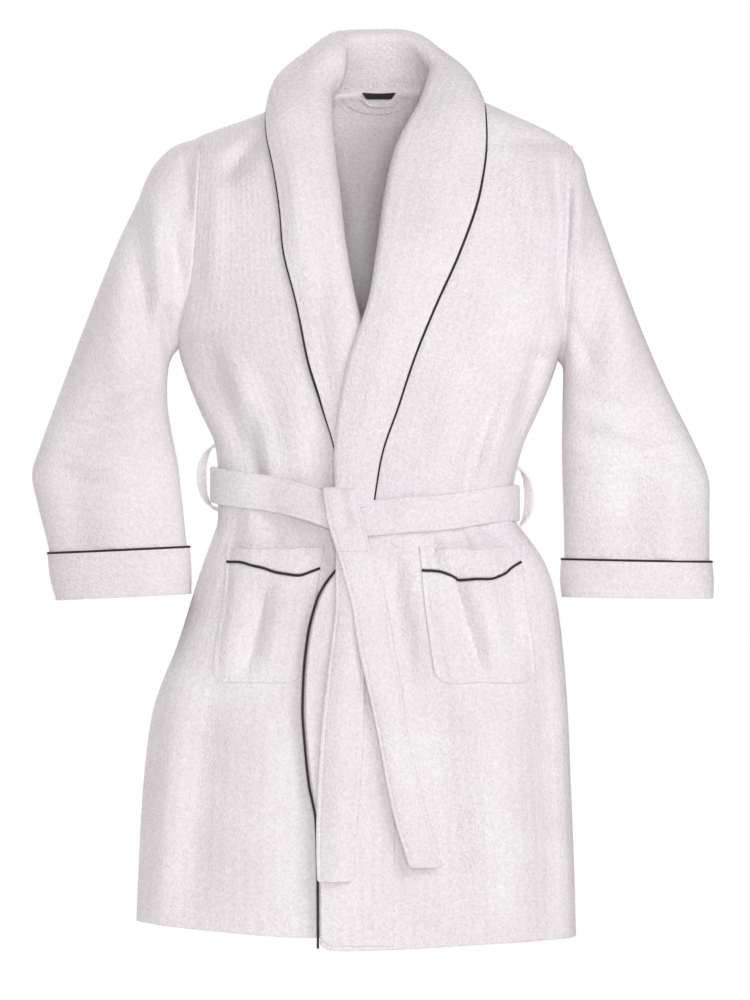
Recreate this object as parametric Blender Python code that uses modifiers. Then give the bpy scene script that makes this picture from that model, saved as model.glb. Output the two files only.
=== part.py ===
"""A terry bathrobe with a shawl collar, dark piping, two patch pockets and a belt tied in front.

The robe is filled out as on a wide hanger or a wearer. It faces -Y, +X is the wearer's left, +Z is up,
and the origin is the middle of the neck opening at the height of the neck seam. Every sheet of cloth is a
grid that a function lays in place, thickened by Solidify. The left front wraps over the right one.
"""

import math

import bmesh
import bpy
import numpy as np
from mathutils import Matrix, Vector

# ---------------------------------------------------------------- driving dimensions, in metres
CLOTH = 0.004  # one layer of terry with its pile
DOUBLE = 0.006  # the folded, padded layers of a collar
PATCH = 0.003  # a pocket, a band or the label's backing
SEAM = 0.0035  # from the middle plane to the cloth's middle at a seam that joins front and back
PIPING = 0.0015  # radius of the piping cord in its cover
NECK_X = 0.010  # the middle of the neck opening: the robe hangs a little to its left
NECK_HALF = 0.090  # half the width of the neck opening
NECK_DEPTH = 0.058  # how far behind the middle the back neck lies
ARMPIT = -0.318
BACK_HEM = -1.085
BELT_WIDTH = 0.048
BELT_THICK = 0.005
ROUNDNESS = 2.7  # exponent of the body's cross-section: 2 is an ellipse, more is squarer

# How far each layer's middle lies outside the base surface of the fronts, where they overlap.
OVER = 0.013
LAPEL_STEP = 0.0065
BAND_STEP = 0.0175
BELT_STEP = 0.0195
BELT_STEP_RIGHT = 0.0065  # where the belt lies on the right front alone
BELT_REACH = 0.009  # how far the belt stands off the body at the sides and the back
TAIL_UNDER = 0.023
TAIL_OVER = 0.029

# Across and up: the shoulder line, from one armhole seam to the other.
SHOULDER_KEYS = ((-0.220, -0.049), (-0.080, 0.003), (0.100, 0.014), (0.262, -0.062))
# Height, then the side of the body on the wearer's right and left.
SIDE_KEYS = (
    (0.000, -0.220, 0.262),
    (-0.055, -0.220, 0.262),
    (-0.315, -0.2425, 0.246),
    (-0.365, -0.231, 0.232),
    (-0.450, -0.195, 0.199),
    (-0.500, -0.188, 0.185),
    (-0.545, -0.190, 0.183),
    (-0.602, -0.212, 0.224),
    (-0.645, -0.226, 0.240),
    (-0.700, -0.241, 0.248),
    (-0.800, -0.280, 0.257),
    (-0.900, -0.292, 0.263),
    (-1.110, -0.300, 0.269),
)
# Heights of the rows of a body panel's grid, from the hem to the shoulder.
ROWS = (
    -1.100, -1.020, -0.930, -0.850, -0.770, -0.700, -0.645, -0.602, -0.572, -0.545, -0.520, -0.490,
    -0.450, -0.405, -0.365, -0.315, -0.250, -0.190, -0.130, -0.080, -0.040, -0.015, 0.000,
)
# Across and up: the fronts' hem, with a step where the left front's edge hangs over the right front.
HEM_KEYS = (
    (-0.30, -1.070), (-0.18, -1.090), (-0.061, -1.095), (-0.060, -1.104), (0.02, -1.104), (0.27, -1.096),
)
# Height, then how far the front and the back stand from the middle plane.
DEPTH_KEYS = (
    (0.000, 0.098, 0.098),
    (-0.300, 0.100, 0.096),
    (-0.400, 0.094, 0.088),
    (-0.530, 0.080, 0.078),
    (-0.620, 0.088, 0.088),
    (-0.800, 0.104, 0.106),
    (-1.110, 0.118, 0.116),
)
# Across and up: where each lapel rolls over, and its outer edge, from the shoulder to the belt.
ROLL_LEFT = ((0.078, -0.030), (0.052, -0.066), (0.029, -0.134), (0.012, -0.207), (0.003, -0.286),
             (-0.025, -0.354), (-0.038, -0.428), (-0.037, -0.505))
EDGE_LEFT = ((0.152, -0.068), (0.147, -0.104), (0.137, -0.150), (0.114, -0.207), (0.080, -0.286),
             (0.053, -0.354), (0.027, -0.428), (0.005, -0.505))
ROLL_RIGHT = ((-0.074, -0.040), (-0.066, -0.085), (-0.060, -0.134), (-0.050, -0.207), (-0.052, -0.286),
              (-0.048, -0.354), (-0.020, -0.428), (0.000, -0.500))
EDGE_RIGHT = ((-0.130, -0.060), (-0.122, -0.096), (-0.116, -0.140), (-0.107, -0.207), (-0.086, -0.286),
              (-0.074, -0.354), (-0.050, -0.428), (-0.037, -0.500))
# Height and across: the free front edges below the belt.
FREE_LEFT = ((-0.560, -0.012), (-0.607, -0.035), (-0.647, -0.060), (-0.744, -0.079), (-0.883, -0.074),
             (-1.011, -0.062), (-1.110, -0.060))
FREE_RIGHT = ((-0.500, 0.020), (-0.620, 0.050), (-0.800, 0.064), (-1.110, 0.070))
# The line about which the skirt's overlap turns open, across and up: from under the knot to the hem.
FOLD_TOP = (-0.015, -0.566)
FOLD_FOOT = (0.150, -1.102)
FOLD_GAP = 0.0045
POCKET_MOUTH, POCKET_BAND, POCKET_FOOT = -0.579, -0.608, -0.752
POCKET_GAPE = 0.016
# Each pocket: its name, inner and outer side at the mouth and at the foot, and how far its front stands off.
POCKETS = (("left", 0.065, 0.191, 0.083, 0.211, OVER), ("right", -0.058, -0.180, -0.076, -0.198, 0.0))
# Height, across and half width of the belt's free ends, from the knot down.
TAIL_RIGHT = (
    (-0.587, -0.020, 0.021), (-0.650, -0.0175, 0.0215), (-0.777, -0.0305, 0.024),
    (-0.853, -0.036, 0.026), (-0.952, -0.040, 0.0255), (-1.010, -0.042, 0.0225),
)
TAIL_LEFT = (
    (-0.578, -0.021, 0.0215), (-0.637, -0.0025, 0.0225), (-0.688, 0.0085, 0.0215),
    (-0.764, 0.0215, 0.0205), (-0.889, 0.0455, 0.0195), (-0.992, 0.0748, 0.0200),
)
# Each sleeve's ribs: outer and inner ends, across and up, and half the depth.
RIBS_RIGHT = (
    ((-0.2235, -0.053), (-0.2505, -0.311), 0.062),
    ((-0.262, -0.073), (-0.256, -0.330), 0.066),
    ((-0.300, -0.138), (-0.261, -0.350), 0.068),
    ((-0.338, -0.223), (-0.263, -0.374), 0.066),
    ((-0.372, -0.308), (-0.261, -0.407), 0.064),
    ((-0.405, -0.395), (-0.253, -0.447), 0.061),
    ((-0.433, -0.480), (-0.247, -0.492), 0.058),
    ((-0.424, -0.540), (-0.242, -0.537), 0.055),
    ((-0.409, -0.592), (-0.238, -0.581), 0.053),
)
CUFF_RIGHT = (((-0.4088, -0.5940), (-0.2378, -0.5830), 0.053), ((-0.402, -0.650), (-0.235, -0.641), 0.052))
RIBS_LEFT = (
    ((0.2655, -0.066), (0.2505, -0.323), 0.062),
    ((0.282, -0.095), (0.2545, -0.338), 0.066),
    ((0.298, -0.150), (0.257, -0.354), 0.068),
    ((0.330, -0.235), (0.2565, -0.380), 0.066),
    ((0.362, -0.318), (0.255, -0.412), 0.064),
    ((0.401, -0.402), (0.255, -0.452), 0.061),
    ((0.440, -0.490), (0.255, -0.497), 0.058),
    ((0.4415, -0.545), (0.256, -0.547), 0.055),
    ((0.4416, -0.600), (0.257, -0.597), 0.053),
)
CUFF_LEFT = (((0.4416, -0.6020), (0.257, -0.5990), 0.053), ((0.4425, -0.648), (0.257, -0.6465), 0.052))
# Across and height: the belt's middle line in front, and at the back where it lies level with its ends.
BELT_FRONT = (
    (-0.197, -0.501), (-0.143, -0.510), (-0.065, -0.533), (0.006, -0.547), (0.075, -0.536), (0.193, -0.524),
)
BELT_BACK = (BELT_FRONT[0], BELT_FRONT[-1])
# Each belt loop: which side, its foot on the side seam, its height's middle, and how far it stands out.
LOOPS = (("right", -1, 0.1992, -0.4970, 0.0155), ("left", 1, 0.1960, -0.5175, 0.0155))
LOOP_HALF = 0.038
# Each joint's axis: its empty's name, a point on it, and the pieces that turn about it.
PIVOTS = (
    ("left_sleeve_axis", (0.262, 0.0, -0.060), ("sleeve_left", "cuff_left", "cuff_piping_left")),
    ("right_sleeve_axis", (-0.220, 0.0, -0.047), ("sleeve_right", "cuff_right", "cuff_piping_right")),
    ("overlap_axis", (-0.015, -0.1047, -0.566), ("front_skirt_left", "front_band_left", "front_piping_left")),
    ("left_tail_axis", (-0.021, -0.11665, -0.578), ("belt_tail_left",)),
    ("right_tail_axis", (-0.020, -0.11146, -0.587), ("belt_tail_right",)),
)

TERRY = ("terry", (0.88, 0.85, 0.86), 0.95)
TRIM = ("piping", (0.045, 0.035, 0.045), 0.6)
WOVEN = ("label", (0.03, 0.03, 0.032), 0.7)


# ---------------------------------------------------------------- small tools
def clear_scene():
    for thing in list(bpy.data.objects):
        bpy.data.objects.remove(thing, do_unlink=True)


def material(look):
    name, colour, roughness = look
    made = bpy.data.materials.get(name)
    if made is None:
        made = bpy.data.materials.new(name)
        made.use_nodes = True
        shader = made.node_tree.nodes["Principled BSDF"]
        shader.inputs["Base Color"].default_value = (*colour, 1.0)
        shader.inputs["Roughness"].default_value = roughness
    return made


def add(name, data, look):
    thing = bpy.data.objects.new(name, data)
    ROBE.objects.link(thing)
    data.materials.append(material(look))
    return thing


def smooth(t):
    t = min(max(t, 0.0), 1.0)
    return t * t * (3 - 2 * t)


def keyed(value, keys, column=1):
    """The key table's column at this value of its first column, which may run up or down."""
    rows = sorted(keys)
    return float(np.interp(value, [r[0] for r in rows], [r[column] for r in rows]))


def along(points, t):
    """The point at share t of a row of points, each step counting the same."""
    at = np.linspace(0, 1, len(points))
    return [float(np.interp(t, at, [p[k] for p in points])) for k in range(len(points[0]))]


def sheet(name, place, columns, rows, thick=CLOTH, look=TERRY, ring=False):
    """A sheet of cloth: a grid whose point (u, v) is laid at place(u, v), then thickened to both sides."""
    mesh = bpy.data.meshes.new(name)
    net = bmesh.new()
    bmesh.ops.create_grid(net, x_segments=columns, y_segments=rows, size=0.5)
    for point in net.verts:
        point.co = Vector(place(point.co.x + 0.5, point.co.y + 0.5))
    if ring:
        bmesh.ops.remove_doubles(net, verts=net.verts, dist=0.0001)
    bmesh.ops.recalc_face_normals(net, faces=net.faces)
    net.to_mesh(mesh)
    net.free()
    mesh.shade_smooth()
    cloth = add(name, mesh, look)
    wall = cloth.modifiers.new("thickness", "SOLIDIFY")
    wall.thickness = thick
    wall.offset = 0.0
    return cloth


def piping(name, points, look=TRIM, closed=False):
    """Piping cord through these points."""
    line = bpy.data.curves.new(name, "CURVE")
    line.dimensions = "3D"
    line.bevel_depth = PIPING
    line.bevel_resolution = 1
    line.use_fill_caps = True
    run = line.splines.new("POLY")
    run.points.add(len(points) - 1)
    for slot, point in zip(run.points, points):
        slot.co = (*point, 1.0)
    run.use_cyclic_u = closed
    return add(name, line, look)


# ---------------------------------------------------------------- the body's surface
def sides(z):
    return keyed(z, SIDE_KEYS, 1), keyed(z, SIDE_KEYS, 2)


def row_share(v):
    """How far up a body panel its grid row v lies: the rows are closer at the waist and at the shoulder."""
    height = along([(z,) for z in ROWS], v)[0]
    return (height - ROWS[0]) / (ROWS[-1] - ROWS[0])


def shoulder(x):
    """Height of the shoulder line, which runs on across the neck."""
    return keyed(x, SHOULDER_KEYS)


def fullness(x, z):
    """1 in the middle of the body, 0 at the side seams; it stays open at the armholes for the sleeves."""
    right, left = sides(z)
    opened = 1 - 0.2 * smooth((z - ARMPIT) / 0.12)
    across = abs((x - (right + left) / 2) / ((left - right) / 2)) * opened
    return max(1 - min(across, 1.0) ** ROUNDNESS, 0.0) ** (1 / ROUNDNESS)


def rounding(x, z):
    """0 on the shoulder line, rising to 1 a hand's length and a half below it."""
    fall = min(max((shoulder(x) - z) / 0.26, 0.0), 1.0)
    return math.sqrt(1 - (1 - fall) ** 2)


def front(x, z, step=0.0):
    """y of the front, with step more in front of the base surface."""
    return -(SEAM + (keyed(z, DEPTH_KEYS, 1) * rounding(x, z) + step) * fullness(x, z))


def lifted(x, z, step, off):
    """The point off metres square outside the front's surface at (x, z)."""
    reach = 0.001
    slope_x = (front(x + reach, z, step) - front(x - reach, z, step)) / (2 * reach)
    slope_z = (front(x, z + reach, step) - front(x, z - reach, step)) / (2 * reach)
    outward = Vector((slope_x, -1.0, slope_z)).normalized()
    return Vector((x, front(x, z, step), z)) + outward * off


def back(x, z):
    """y of the back, which rises to the back of the neck in the middle."""
    neck = NECK_DEPTH * math.sqrt(max(1 - ((x - NECK_X) / (NECK_HALF + 0.006)) ** 2, 0.0))
    depth = keyed(z, DEPTH_KEYS, 2)
    return SEAM + neck + (depth - neck) * rounding(x, z) * fullness(x, z)


def over(z):
    """How far the left front stands off the right one: they part towards the shoulders."""
    return OVER * smooth((-0.15 - z) / 0.2)


def hem(x):
    """Height of the fronts' hem: the left front hangs a little lower than the right one."""
    return keyed(x, HEM_KEYS)


def fold_x(z):
    """Where the line of the skirt's opening lies across the front at this height."""
    return float(np.interp(z, [FOLD_FOOT[1], FOLD_TOP[1]], [FOLD_FOOT[0], FOLD_TOP[0]]))


# ---------------------------------------------------------------- back, fronts and bands
def back_panel():
    def place(u, v):
        side = math.sin((u - 0.5) * math.pi)
        right, left = sides(0.0)
        x_top = (right + left) / 2 + side * (left - right) / 2
        z = BACK_HEM + row_share(v) * (shoulder(x_top) - BACK_HEM)
        right, left = sides(z)
        x = (right + left) / 2 + side * (left - right) / 2
        return x, back(x, z), z

    sheet("back_panel", place, 16, len(ROWS) - 1)


def front_panel(name, inner, step, outer, columns):
    """A front from its inner edge, inner(z), to the side seam; outer is 1 on the left and 0 on the right."""

    def place(u, v):
        end = sides(0.0)[outer]
        start = NECK_X + NECK_HALF * (1 if outer else -1)
        share = math.sin(u * math.pi / 2)
        z_top = shoulder(start + (end - start) * share)
        z_foot = hem(inner(-1.1) + (sides(-1.1)[outer] - inner(-1.1)) * share)
        z = z_foot + row_share(v) * (z_top - z_foot)
        x = inner(z) + (sides(z)[outer] - inner(z)) * share
        return x, front(x, z, step(z)), z

    sheet(name, place, columns, len(ROWS) - 1)


def inner_left(z):
    """Inner edge of the left front: just outside the roll of its lapel, and below the belt along the fold."""
    rolls = [(p[1], p[0] + 0.008) for p in ROLL_LEFT]
    knots = [(0.0, NECK_X + NECK_HALF)] + rolls + [(-0.556, FOLD_TOP[0]), (-0.566, FOLD_TOP[0] + FOLD_GAP)]
    if z > FOLD_TOP[1]:
        return keyed(z, knots)
    return fold_x(z) + FOLD_GAP


def inner_right(z):
    rolls = [(p[1], p[0] - 0.008) for p in ROLL_RIGHT]
    knots = [(0.0, NECK_X - NECK_HALF)] + rolls[:-1] + list(FREE_RIGHT)
    return keyed(z, knots)


def skirt_flap():
    def place(u, v):
        z_top = -0.600
        z = hem(-0.05) + v * (z_top - hem(-0.05))
        x = keyed(z, FREE_LEFT) + u * (fold_x(z) - FOLD_GAP - keyed(z, FREE_LEFT))
        return x, front(x, z, OVER), z

    sheet("front_skirt_left", place, 4, 14)


def front_band(name, free, far, step, z_top, z_foot):
    """The turned band along a free edge, from free(z) to far(z)."""

    def place(u, v):
        z = z_foot + v * (z_top - z_foot)
        x = free(z) + u * (far(z) - free(z))
        return x, front(x, z, step), z

    sheet(name, place, 3, 14, PATCH)


def body():
    back_panel()
    front_panel("front_panel_left", inner_left, over, 1, 9)
    front_panel("front_panel_right", inner_right, lambda z: 0.0, 0, 10)
    skirt_flap()
    front_band("front_band_left", lambda z: keyed(z, FREE_LEFT) + 0.002,
               lambda z: min(0.035, fold_x(z) - 2 * FOLD_GAP), BAND_STEP, -0.620, -1.100)
    front_band("front_band_right", lambda z: keyed(z, FREE_RIGHT) - 0.070,
               lambda z: keyed(z, FREE_RIGHT) - 0.002, 0.0055, -0.570, -1.088)
    for name, keys, step, z_top, z_foot in (
        ("front_piping_left", FREE_LEFT, OVER, -0.622, -1.098),
        ("front_piping_right", FREE_RIGHT, 0.0, -0.580, -1.086),
    ):
        out = -0.0045 if name.endswith("left") else 0.0045
        heights = np.linspace(z_top, z_foot, 18)
        piping(name, [(keyed(z, keys) + out, front(keyed(z, keys), z, step), z) for z in heights])


# ---------------------------------------------------------------- collar
def neck_ring(turn, high):
    """A point of the collar's stand: turn runs from the wearer's right, 0, round the back to the left, 1."""
    angle = turn * math.pi
    x = NECK_X - (NECK_HALF - 0.010 * high) * math.cos(angle)
    y = SEAM + (NECK_DEPTH - 0.008 * high) * math.sin(angle) - 0.004 * high
    height = 0.020 + 0.050 * math.sin(angle) ** 0.8
    return x, y, shoulder(x) + 0.006 + high * height


def clear(x, y, z, step):
    """The point moved out of the body, so that it stands step off the cloth below it."""
    top = shoulder(x)
    if z < top + 0.003:
        level = min(z, top)
        y = max(y, back(x, level) + step) if y > 0 else min(y, front(x, level, step))
    return x, y, z


def fall_back(turn, low):
    """A point of the collar's fall round the neck: low is 0 on the roll and 1 at the outer edge."""
    x, y, z = neck_ring(turn, 1.0)
    angle = turn * math.pi
    lean = 0.008 + 0.034 * math.sin(low * math.pi / 2) ** 0.7
    drop = 0.031 + 0.066 * math.sin(angle)
    roll = 0.0065
    out_x, out_y = -lean * math.cos(angle) * 1.15, lean * math.sin(angle) * 0.85
    return x + out_x, y + out_y, z + roll - low * (drop + roll)


def lapel(side, t, low):
    """A point of a lapel: t runs from the shoulder to the belt, low from the roll to the outer edge."""
    rolls, edges = (ROLL_LEFT, EDGE_LEFT) if side > 0 else (ROLL_RIGHT, EDGE_RIGHT)
    roll, edge = along(rolls, t), along(edges, t)
    x = roll[0] + (edge[0] - roll[0]) * low
    z = roll[1] + (edge[1] - roll[1]) * low
    belly = 0.004 * math.sin(low * math.pi) * (1.0 if side > 0 else smooth((z + 0.36) / 0.2))
    step = (over(z) if side > 0 else 0.0) + LAPEL_STEP
    return x, front(x, z, step + belly), z


def collar_point(side, t, low):
    """A collar half from the middle of the back, t = 0, over the shoulder to the belt, t = 1."""
    back_share, join = 0.28, 0.14
    if t <= back_share:
        turn = 0.5 + side * 0.5 * t / back_share
        return clear(*fall_back(turn, low), LAPEL_STEP)
    if t >= back_share + join:
        return lapel(side, (t - back_share - join) / (1 - back_share - join), low)
    mix = (t - back_share) / join
    first, last = Vector(fall_back(0.5 + side * 0.5, low)), Vector(lapel(side, 0.0, low))
    bow = Vector((0.004 * side, -0.012, 0.016)) * math.sin(mix * math.pi)
    return clear(*(first.lerp(last, mix) + bow), LAPEL_STEP)


def collar():
    sheet("collar_stand", lambda u, v: neck_ring(u, v), 16, 3)
    for name, side in (("left", 1), ("right", -1)):
        sheet("collar_" + name, lambda u, v, s=side: collar_point(s, 0.006 + 0.994 * v, u), 4, 26, DOUBLE)
        start = 0.01 if side > 0 else 0.03
        line = []
        for t in np.linspace(start, 1.0, 34):
            edge, inside = Vector(collar_point(side, t, 1.0)), Vector(collar_point(side, t, 0.8))
            line.append(clear(*(edge + (edge - inside).normalized() * (PIPING + 0.0015)), LAPEL_STEP))
        piping("collar_piping_" + name, line)


# ---------------------------------------------------------------- sleeves and cuffs
def rib_ring(ribs, along_share, turn, grow=0.0):
    """A point on a sleeve: along_share runs from the armhole to the hand, turn once round."""
    at = along_share * (len(ribs) - 1)
    i = min(int(at), len(ribs) - 2)
    part = at - i
    mixed = [
        [ribs[i][k][j] + (ribs[i + 1][k][j] - ribs[i][k][j]) * part for j in range(2)] for k in range(2)
    ]
    deep = ribs[i][2] + (ribs[i + 1][2] - ribs[i][2]) * part + grow
    outer, inner = Vector(mixed[0]), Vector(mixed[1])
    middle, half = (outer + inner) / 2, (outer - inner) / 2
    half = half * (1 + grow / half.length)
    angle = turn * 2 * math.pi
    spot = middle + half * math.cos(angle)
    return spot.x, deep * math.sin(angle), spot.y


def sleeves():
    for name, ribs, cuff in (("right", RIBS_RIGHT, CUFF_RIGHT), ("left", RIBS_LEFT, CUFF_LEFT)):
        sheet("sleeve_" + name, lambda u, v, r=ribs: rib_ring(r, v, u), 16, 10, ring=True)
        sheet("cuff_" + name, lambda u, v, r=cuff: rib_ring(r, v, u, 0.001), 16, 2, ring=True)
        ring = [rib_ring(cuff, 0.0, k / 24, CLOTH / 2 + PIPING + 0.0030) for k in range(24)]
        piping("cuff_piping_" + name, ring, closed=True)


# ---------------------------------------------------------------- pockets
def pocket_point(pocket, u, v):
    """A point of a patch that lies on a front at its edges and gapes at its mouth, v = 1."""
    _, mouth_in, mouth_out, foot_in, foot_out, base = pocket
    x_in, x_out = foot_in + (mouth_in - foot_in) * v, foot_out + (mouth_out - foot_out) * v
    x = x_in + u * (x_out - x_in)
    z = POCKET_FOOT + v * (POCKET_MOUTH - POCKET_FOOT) - 0.008 * v * math.sin(math.pi * u)
    gape = POCKET_GAPE * math.sin(math.pi * u) ** 0.8 * smooth(0.15 + 0.85 * v)
    return lifted(x, z, base, CLOTH / 2 + 0.0015 + PATCH / 2 + gape)


def pockets():
    share = (POCKET_BAND - POCKET_FOOT) / (POCKET_MOUTH - POCKET_FOOT)
    for pocket in POCKETS:

        def lay(u, v, p=pocket):
            return pocket_point(p, u, v)

        gap = 0.004
        high = 1 - gap - share
        sheet("pocket_" + pocket[0], lambda u, v: lay(u, v * (share - gap)), 9, 6, PATCH)
        sheet("pocket_band_" + pocket[0], lambda u, v: lay(u, share + gap + v * high), 9, 2, PATCH)
        line = []
        for u in np.linspace(0.02, 0.98, 16):
            out = (lay(u, share) - lay(u, share - 0.1)).cross(lay(u + 0.01, share) - lay(u - 0.01, share))
            line.append(lay(u, share) - out.normalized() * math.copysign(PATCH / 2 + PIPING + 0.0007, out.y))
        piping("pocket_piping_" + pocket[0], line)


# ---------------------------------------------------------------- belt and its loops
def belt_step(x):
    """The belt stands off both fronts where they overlap, and off the right one alone beside them."""
    return BELT_STEP_RIGHT + (BELT_STEP - BELT_STEP_RIGHT) * smooth((x + 0.13) / 0.06)


def belt_wrap():
    power = 2 / ROUNDNESS

    def place(u, v):
        angle = u * 2 * math.pi
        c, s = math.cos(angle), math.sin(angle)
        share_x, share_y = math.copysign(abs(c) ** power, c), math.copysign(abs(s) ** power, s)
        z = keyed(0.19 * share_x, BELT_FRONT if s < 0 else BELT_BACK) + (v - 0.5) * BELT_WIDTH
        right, left = sides(z)
        x = (right + left) / 2 + ((left - right) / 2 + BELT_REACH) * share_x
        step = belt_step(x) if s < 0 else BELT_REACH
        return x, (keyed(z, DEPTH_KEYS, 1 if s < 0 else 2) + SEAM + step) * share_y, z

    sheet("belt_wrap", place, 40, 2, BELT_THICK, ring=True)


def belt_knot():
    """The half knot: a soft block of folded belt in front of the wrap."""
    top, foot = -0.510, -0.572
    net = bmesh.new()
    bmesh.ops.create_cube(net, size=1.0)
    deep = 0.018
    y = front(-0.03, (top + foot) / 2, BELT_STEP + BELT_THICK / 2 + 0.0045 + deep / 2)
    for point in net.verts:
        lean = -0.010 * point.co.z
        x = -0.030 + point.co.x * 0.054 + lean
        z = (top + foot) / 2 + point.co.z * (top - foot)
        point.co = (x, y + point.co.y * deep, z)
    mesh = bpy.data.meshes.new("belt_knot")
    net.to_mesh(mesh)
    net.free()
    knot = add("belt_knot", mesh, TERRY)
    edges = knot.modifiers.new("soft edges", "BEVEL")
    edges.width = 0.007
    edges.segments = 2


def belt_tail(name, path, step):
    """A free end: path holds height, across and half width, from the knot down."""
    top, foot = path[0][0], path[-1][0]

    def place(u, v):
        z = top + v * (foot - top)
        x = keyed(z, path, 1) + (u - 0.5) * 2 * keyed(z, path, 2)
        return x, front(x, z, step), z

    sheet(name, place, 3, 14, CLOTH)


def belt_loop(name, side, foot, middle, reach):
    """A narrow strap on the side seam; the belt runs inside it."""

    def place(u, v):
        angle = (v - 0.5) * math.pi
        x = foot + reach * math.cos(angle) ** 0.8
        return side * x, (u - 0.5) * 0.010, middle + LOOP_HALF * math.sin(angle)

    sheet("belt_loop_" + name, place, 1, 12, 0.0025)


def belt():
    belt_wrap()
    belt_knot()
    belt_tail("belt_tail_right", TAIL_RIGHT, TAIL_UNDER)
    belt_tail("belt_tail_left", TAIL_LEFT, TAIL_OVER)
    for loop in LOOPS:
        belt_loop(*loop)


# ---------------------------------------------------------------- inside the neck
def inside_neck(x, z, off):
    """A point just inside the back of the collar's stand."""
    deep = NECK_DEPTH * math.sqrt(1 - ((x - NECK_X) / NECK_HALF) ** 2)
    return x, SEAM + deep - off, z


def neck_fittings():
    """The hanging loop and the woven label, sewn inside the back of the neck."""
    middle, low, half = 0.007, 0.010, 0.033
    line = []
    for k in range(13):
        angle = math.pi * k / 12
        line.append(inside_neck(middle - half * math.cos(angle), low - 0.024 * math.sin(angle), 0.0100))
    piping("hang_loop", line, TERRY)
    wide, high = 0.046, 0.009

    def woven(u, v):
        return inside_neck(0.0135 + (u - 0.5) * wide, 0.0185 + (v - 0.5) * high, 0.0060)

    sheet("neck_label", woven, 4, 1, 0.001, WOVEN)


# ---------------------------------------------------------------- joint axes
def pivots():
    """An empty on each joint's axis, with the pieces that turn about it hung from it where they lie."""
    for name, place, members in PIVOTS:
        axis = bpy.data.objects.new(name, None)
        ROBE.objects.link(axis)
        axis.location = place
        for member in members:
            thing = bpy.data.objects[member]
            thing.parent = axis
            thing.matrix_parent_inverse = Matrix.Translation(-Vector(place))


clear_scene()
ROBE = bpy.data.collections.new("bathrobe")
bpy.context.scene.collection.children.link(ROBE)
body()
collar()
sleeves()
pockets()
belt()
neck_fittings()
pivots()
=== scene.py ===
"""The looks of a terry bathrobe: its cloth, piping, belt and stitching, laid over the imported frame.

The robe faces -Y, +X is the wearer's left and +Z is up. Every cloth piece is a fine grid that a function lays
on one of a few surfaces: the fronts, the back, the collar, the sleeves and the belt. Folds are soft ridges
and valleys added to those surfaces, so the layers that lie on each other share them.
"""

import math

import bmesh
import bpy
import numpy as np
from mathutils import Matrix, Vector


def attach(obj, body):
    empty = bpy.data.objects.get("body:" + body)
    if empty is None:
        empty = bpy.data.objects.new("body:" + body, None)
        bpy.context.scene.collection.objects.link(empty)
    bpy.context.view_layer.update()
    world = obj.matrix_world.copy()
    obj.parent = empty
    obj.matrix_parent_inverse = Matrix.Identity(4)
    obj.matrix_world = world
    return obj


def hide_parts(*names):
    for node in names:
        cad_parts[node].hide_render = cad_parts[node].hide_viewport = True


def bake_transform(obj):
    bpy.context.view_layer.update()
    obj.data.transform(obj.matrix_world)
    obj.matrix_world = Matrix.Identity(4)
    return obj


bl_info = {
    "name": "Terry Bathrobe",
    "version": (1, 0, 0),
    "blender": (4, 5, 0),
    "location": "3D View > Sidebar > Bathrobe",
    "description": "Lays the cloth, piping, belt and stitching of a terry bathrobe over its packed frame",
    "category": "Add Mesh",
}

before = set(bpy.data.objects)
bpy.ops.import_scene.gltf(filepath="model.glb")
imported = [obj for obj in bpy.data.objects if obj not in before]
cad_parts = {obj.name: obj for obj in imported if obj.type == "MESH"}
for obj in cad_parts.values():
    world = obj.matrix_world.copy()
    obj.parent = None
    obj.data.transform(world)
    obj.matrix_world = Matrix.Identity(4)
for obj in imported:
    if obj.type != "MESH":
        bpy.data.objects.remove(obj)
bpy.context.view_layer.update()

# ---------------------------------------------------------------- the robe's own sizes, in metres
SEAM = -0.0014  # a front and the back reach this far over the middle plane, where they are sewn
NECK_X, NECK_HALF, NECK_DEPTH = 0.01, 0.09, 0.058
ARMPIT_RIGHT, ARMPIT_LEFT = -0.311, -0.33
TIP_RIGHT, TIP_LEFT = -0.048, -0.06
ARM_DEPTH = 0.062  # half the depth of an armhole
SLOPE = 0.26  # how far below the shoulder line the body reaches its full depth
ROUNDNESS = 2.5  # of the body's cross-section: 2 is an ellipse, more is squarer
OVER = 0.015  # the left front over the right one
LAPEL_STEP, BAND_STEP, PATCH_STEP = 0.0065, 0.0035, 0.0036  # what lies on a front, off that front's cloth
BELT_STEP, BELT_STEP_RIGHT = 0.0235, 0.0085  # the belt off the fronts: over the overlap, and beside it
BELT_REACH = 0.0095  # the belt off the sides and the back
HEM_HIGH = 0.035
RIBS_APART = 0.013
HEM_SHARE = HEM_HIGH / 1.07  # of a panel's length
FOLD_DEPTH = 2.0  # how many times deeper than in the tables below the folds are laid

# Across and up: the shoulder line, from one armhole to the other.
SHOULDER = (
    (-0.279, -0.09), (-0.22, -0.048), (-0.16, -0.026), (-0.09, -0.001), (-0.03, 0.009), (0.05, 0.012),
    (0.1, 0.011), (0.145, -0.001), (0.192, -0.021), (0.246, -0.047), (0.262, -0.059), (0.29, -0.1),
)
# Height, then the side of the body on the wearer's right and left.
SIDES = (
    (0.0, -0.219, 0.264), (-0.055, -0.219, 0.264), (-0.15, -0.223, 0.263), (-0.23, -0.229, 0.258),
    (-0.315, -0.245, 0.25), (-0.365, -0.232, 0.236), (-0.405, -0.216, 0.219), (-0.45, -0.1965, 0.199),
    (-0.485, -0.193, 0.19), (-0.515, -0.193, 0.185), (-0.545, -0.193, 0.189), (-0.572, -0.201, 0.208),
    (-0.602, -0.212, 0.228), (-0.645, -0.226, 0.242), (-0.7, -0.243, 0.25), (-0.8, -0.279, 0.258),
    (-0.9, -0.291, 0.262), (-1.0, -0.2965, 0.266), (-1.11, -0.301, 0.269),
)
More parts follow.
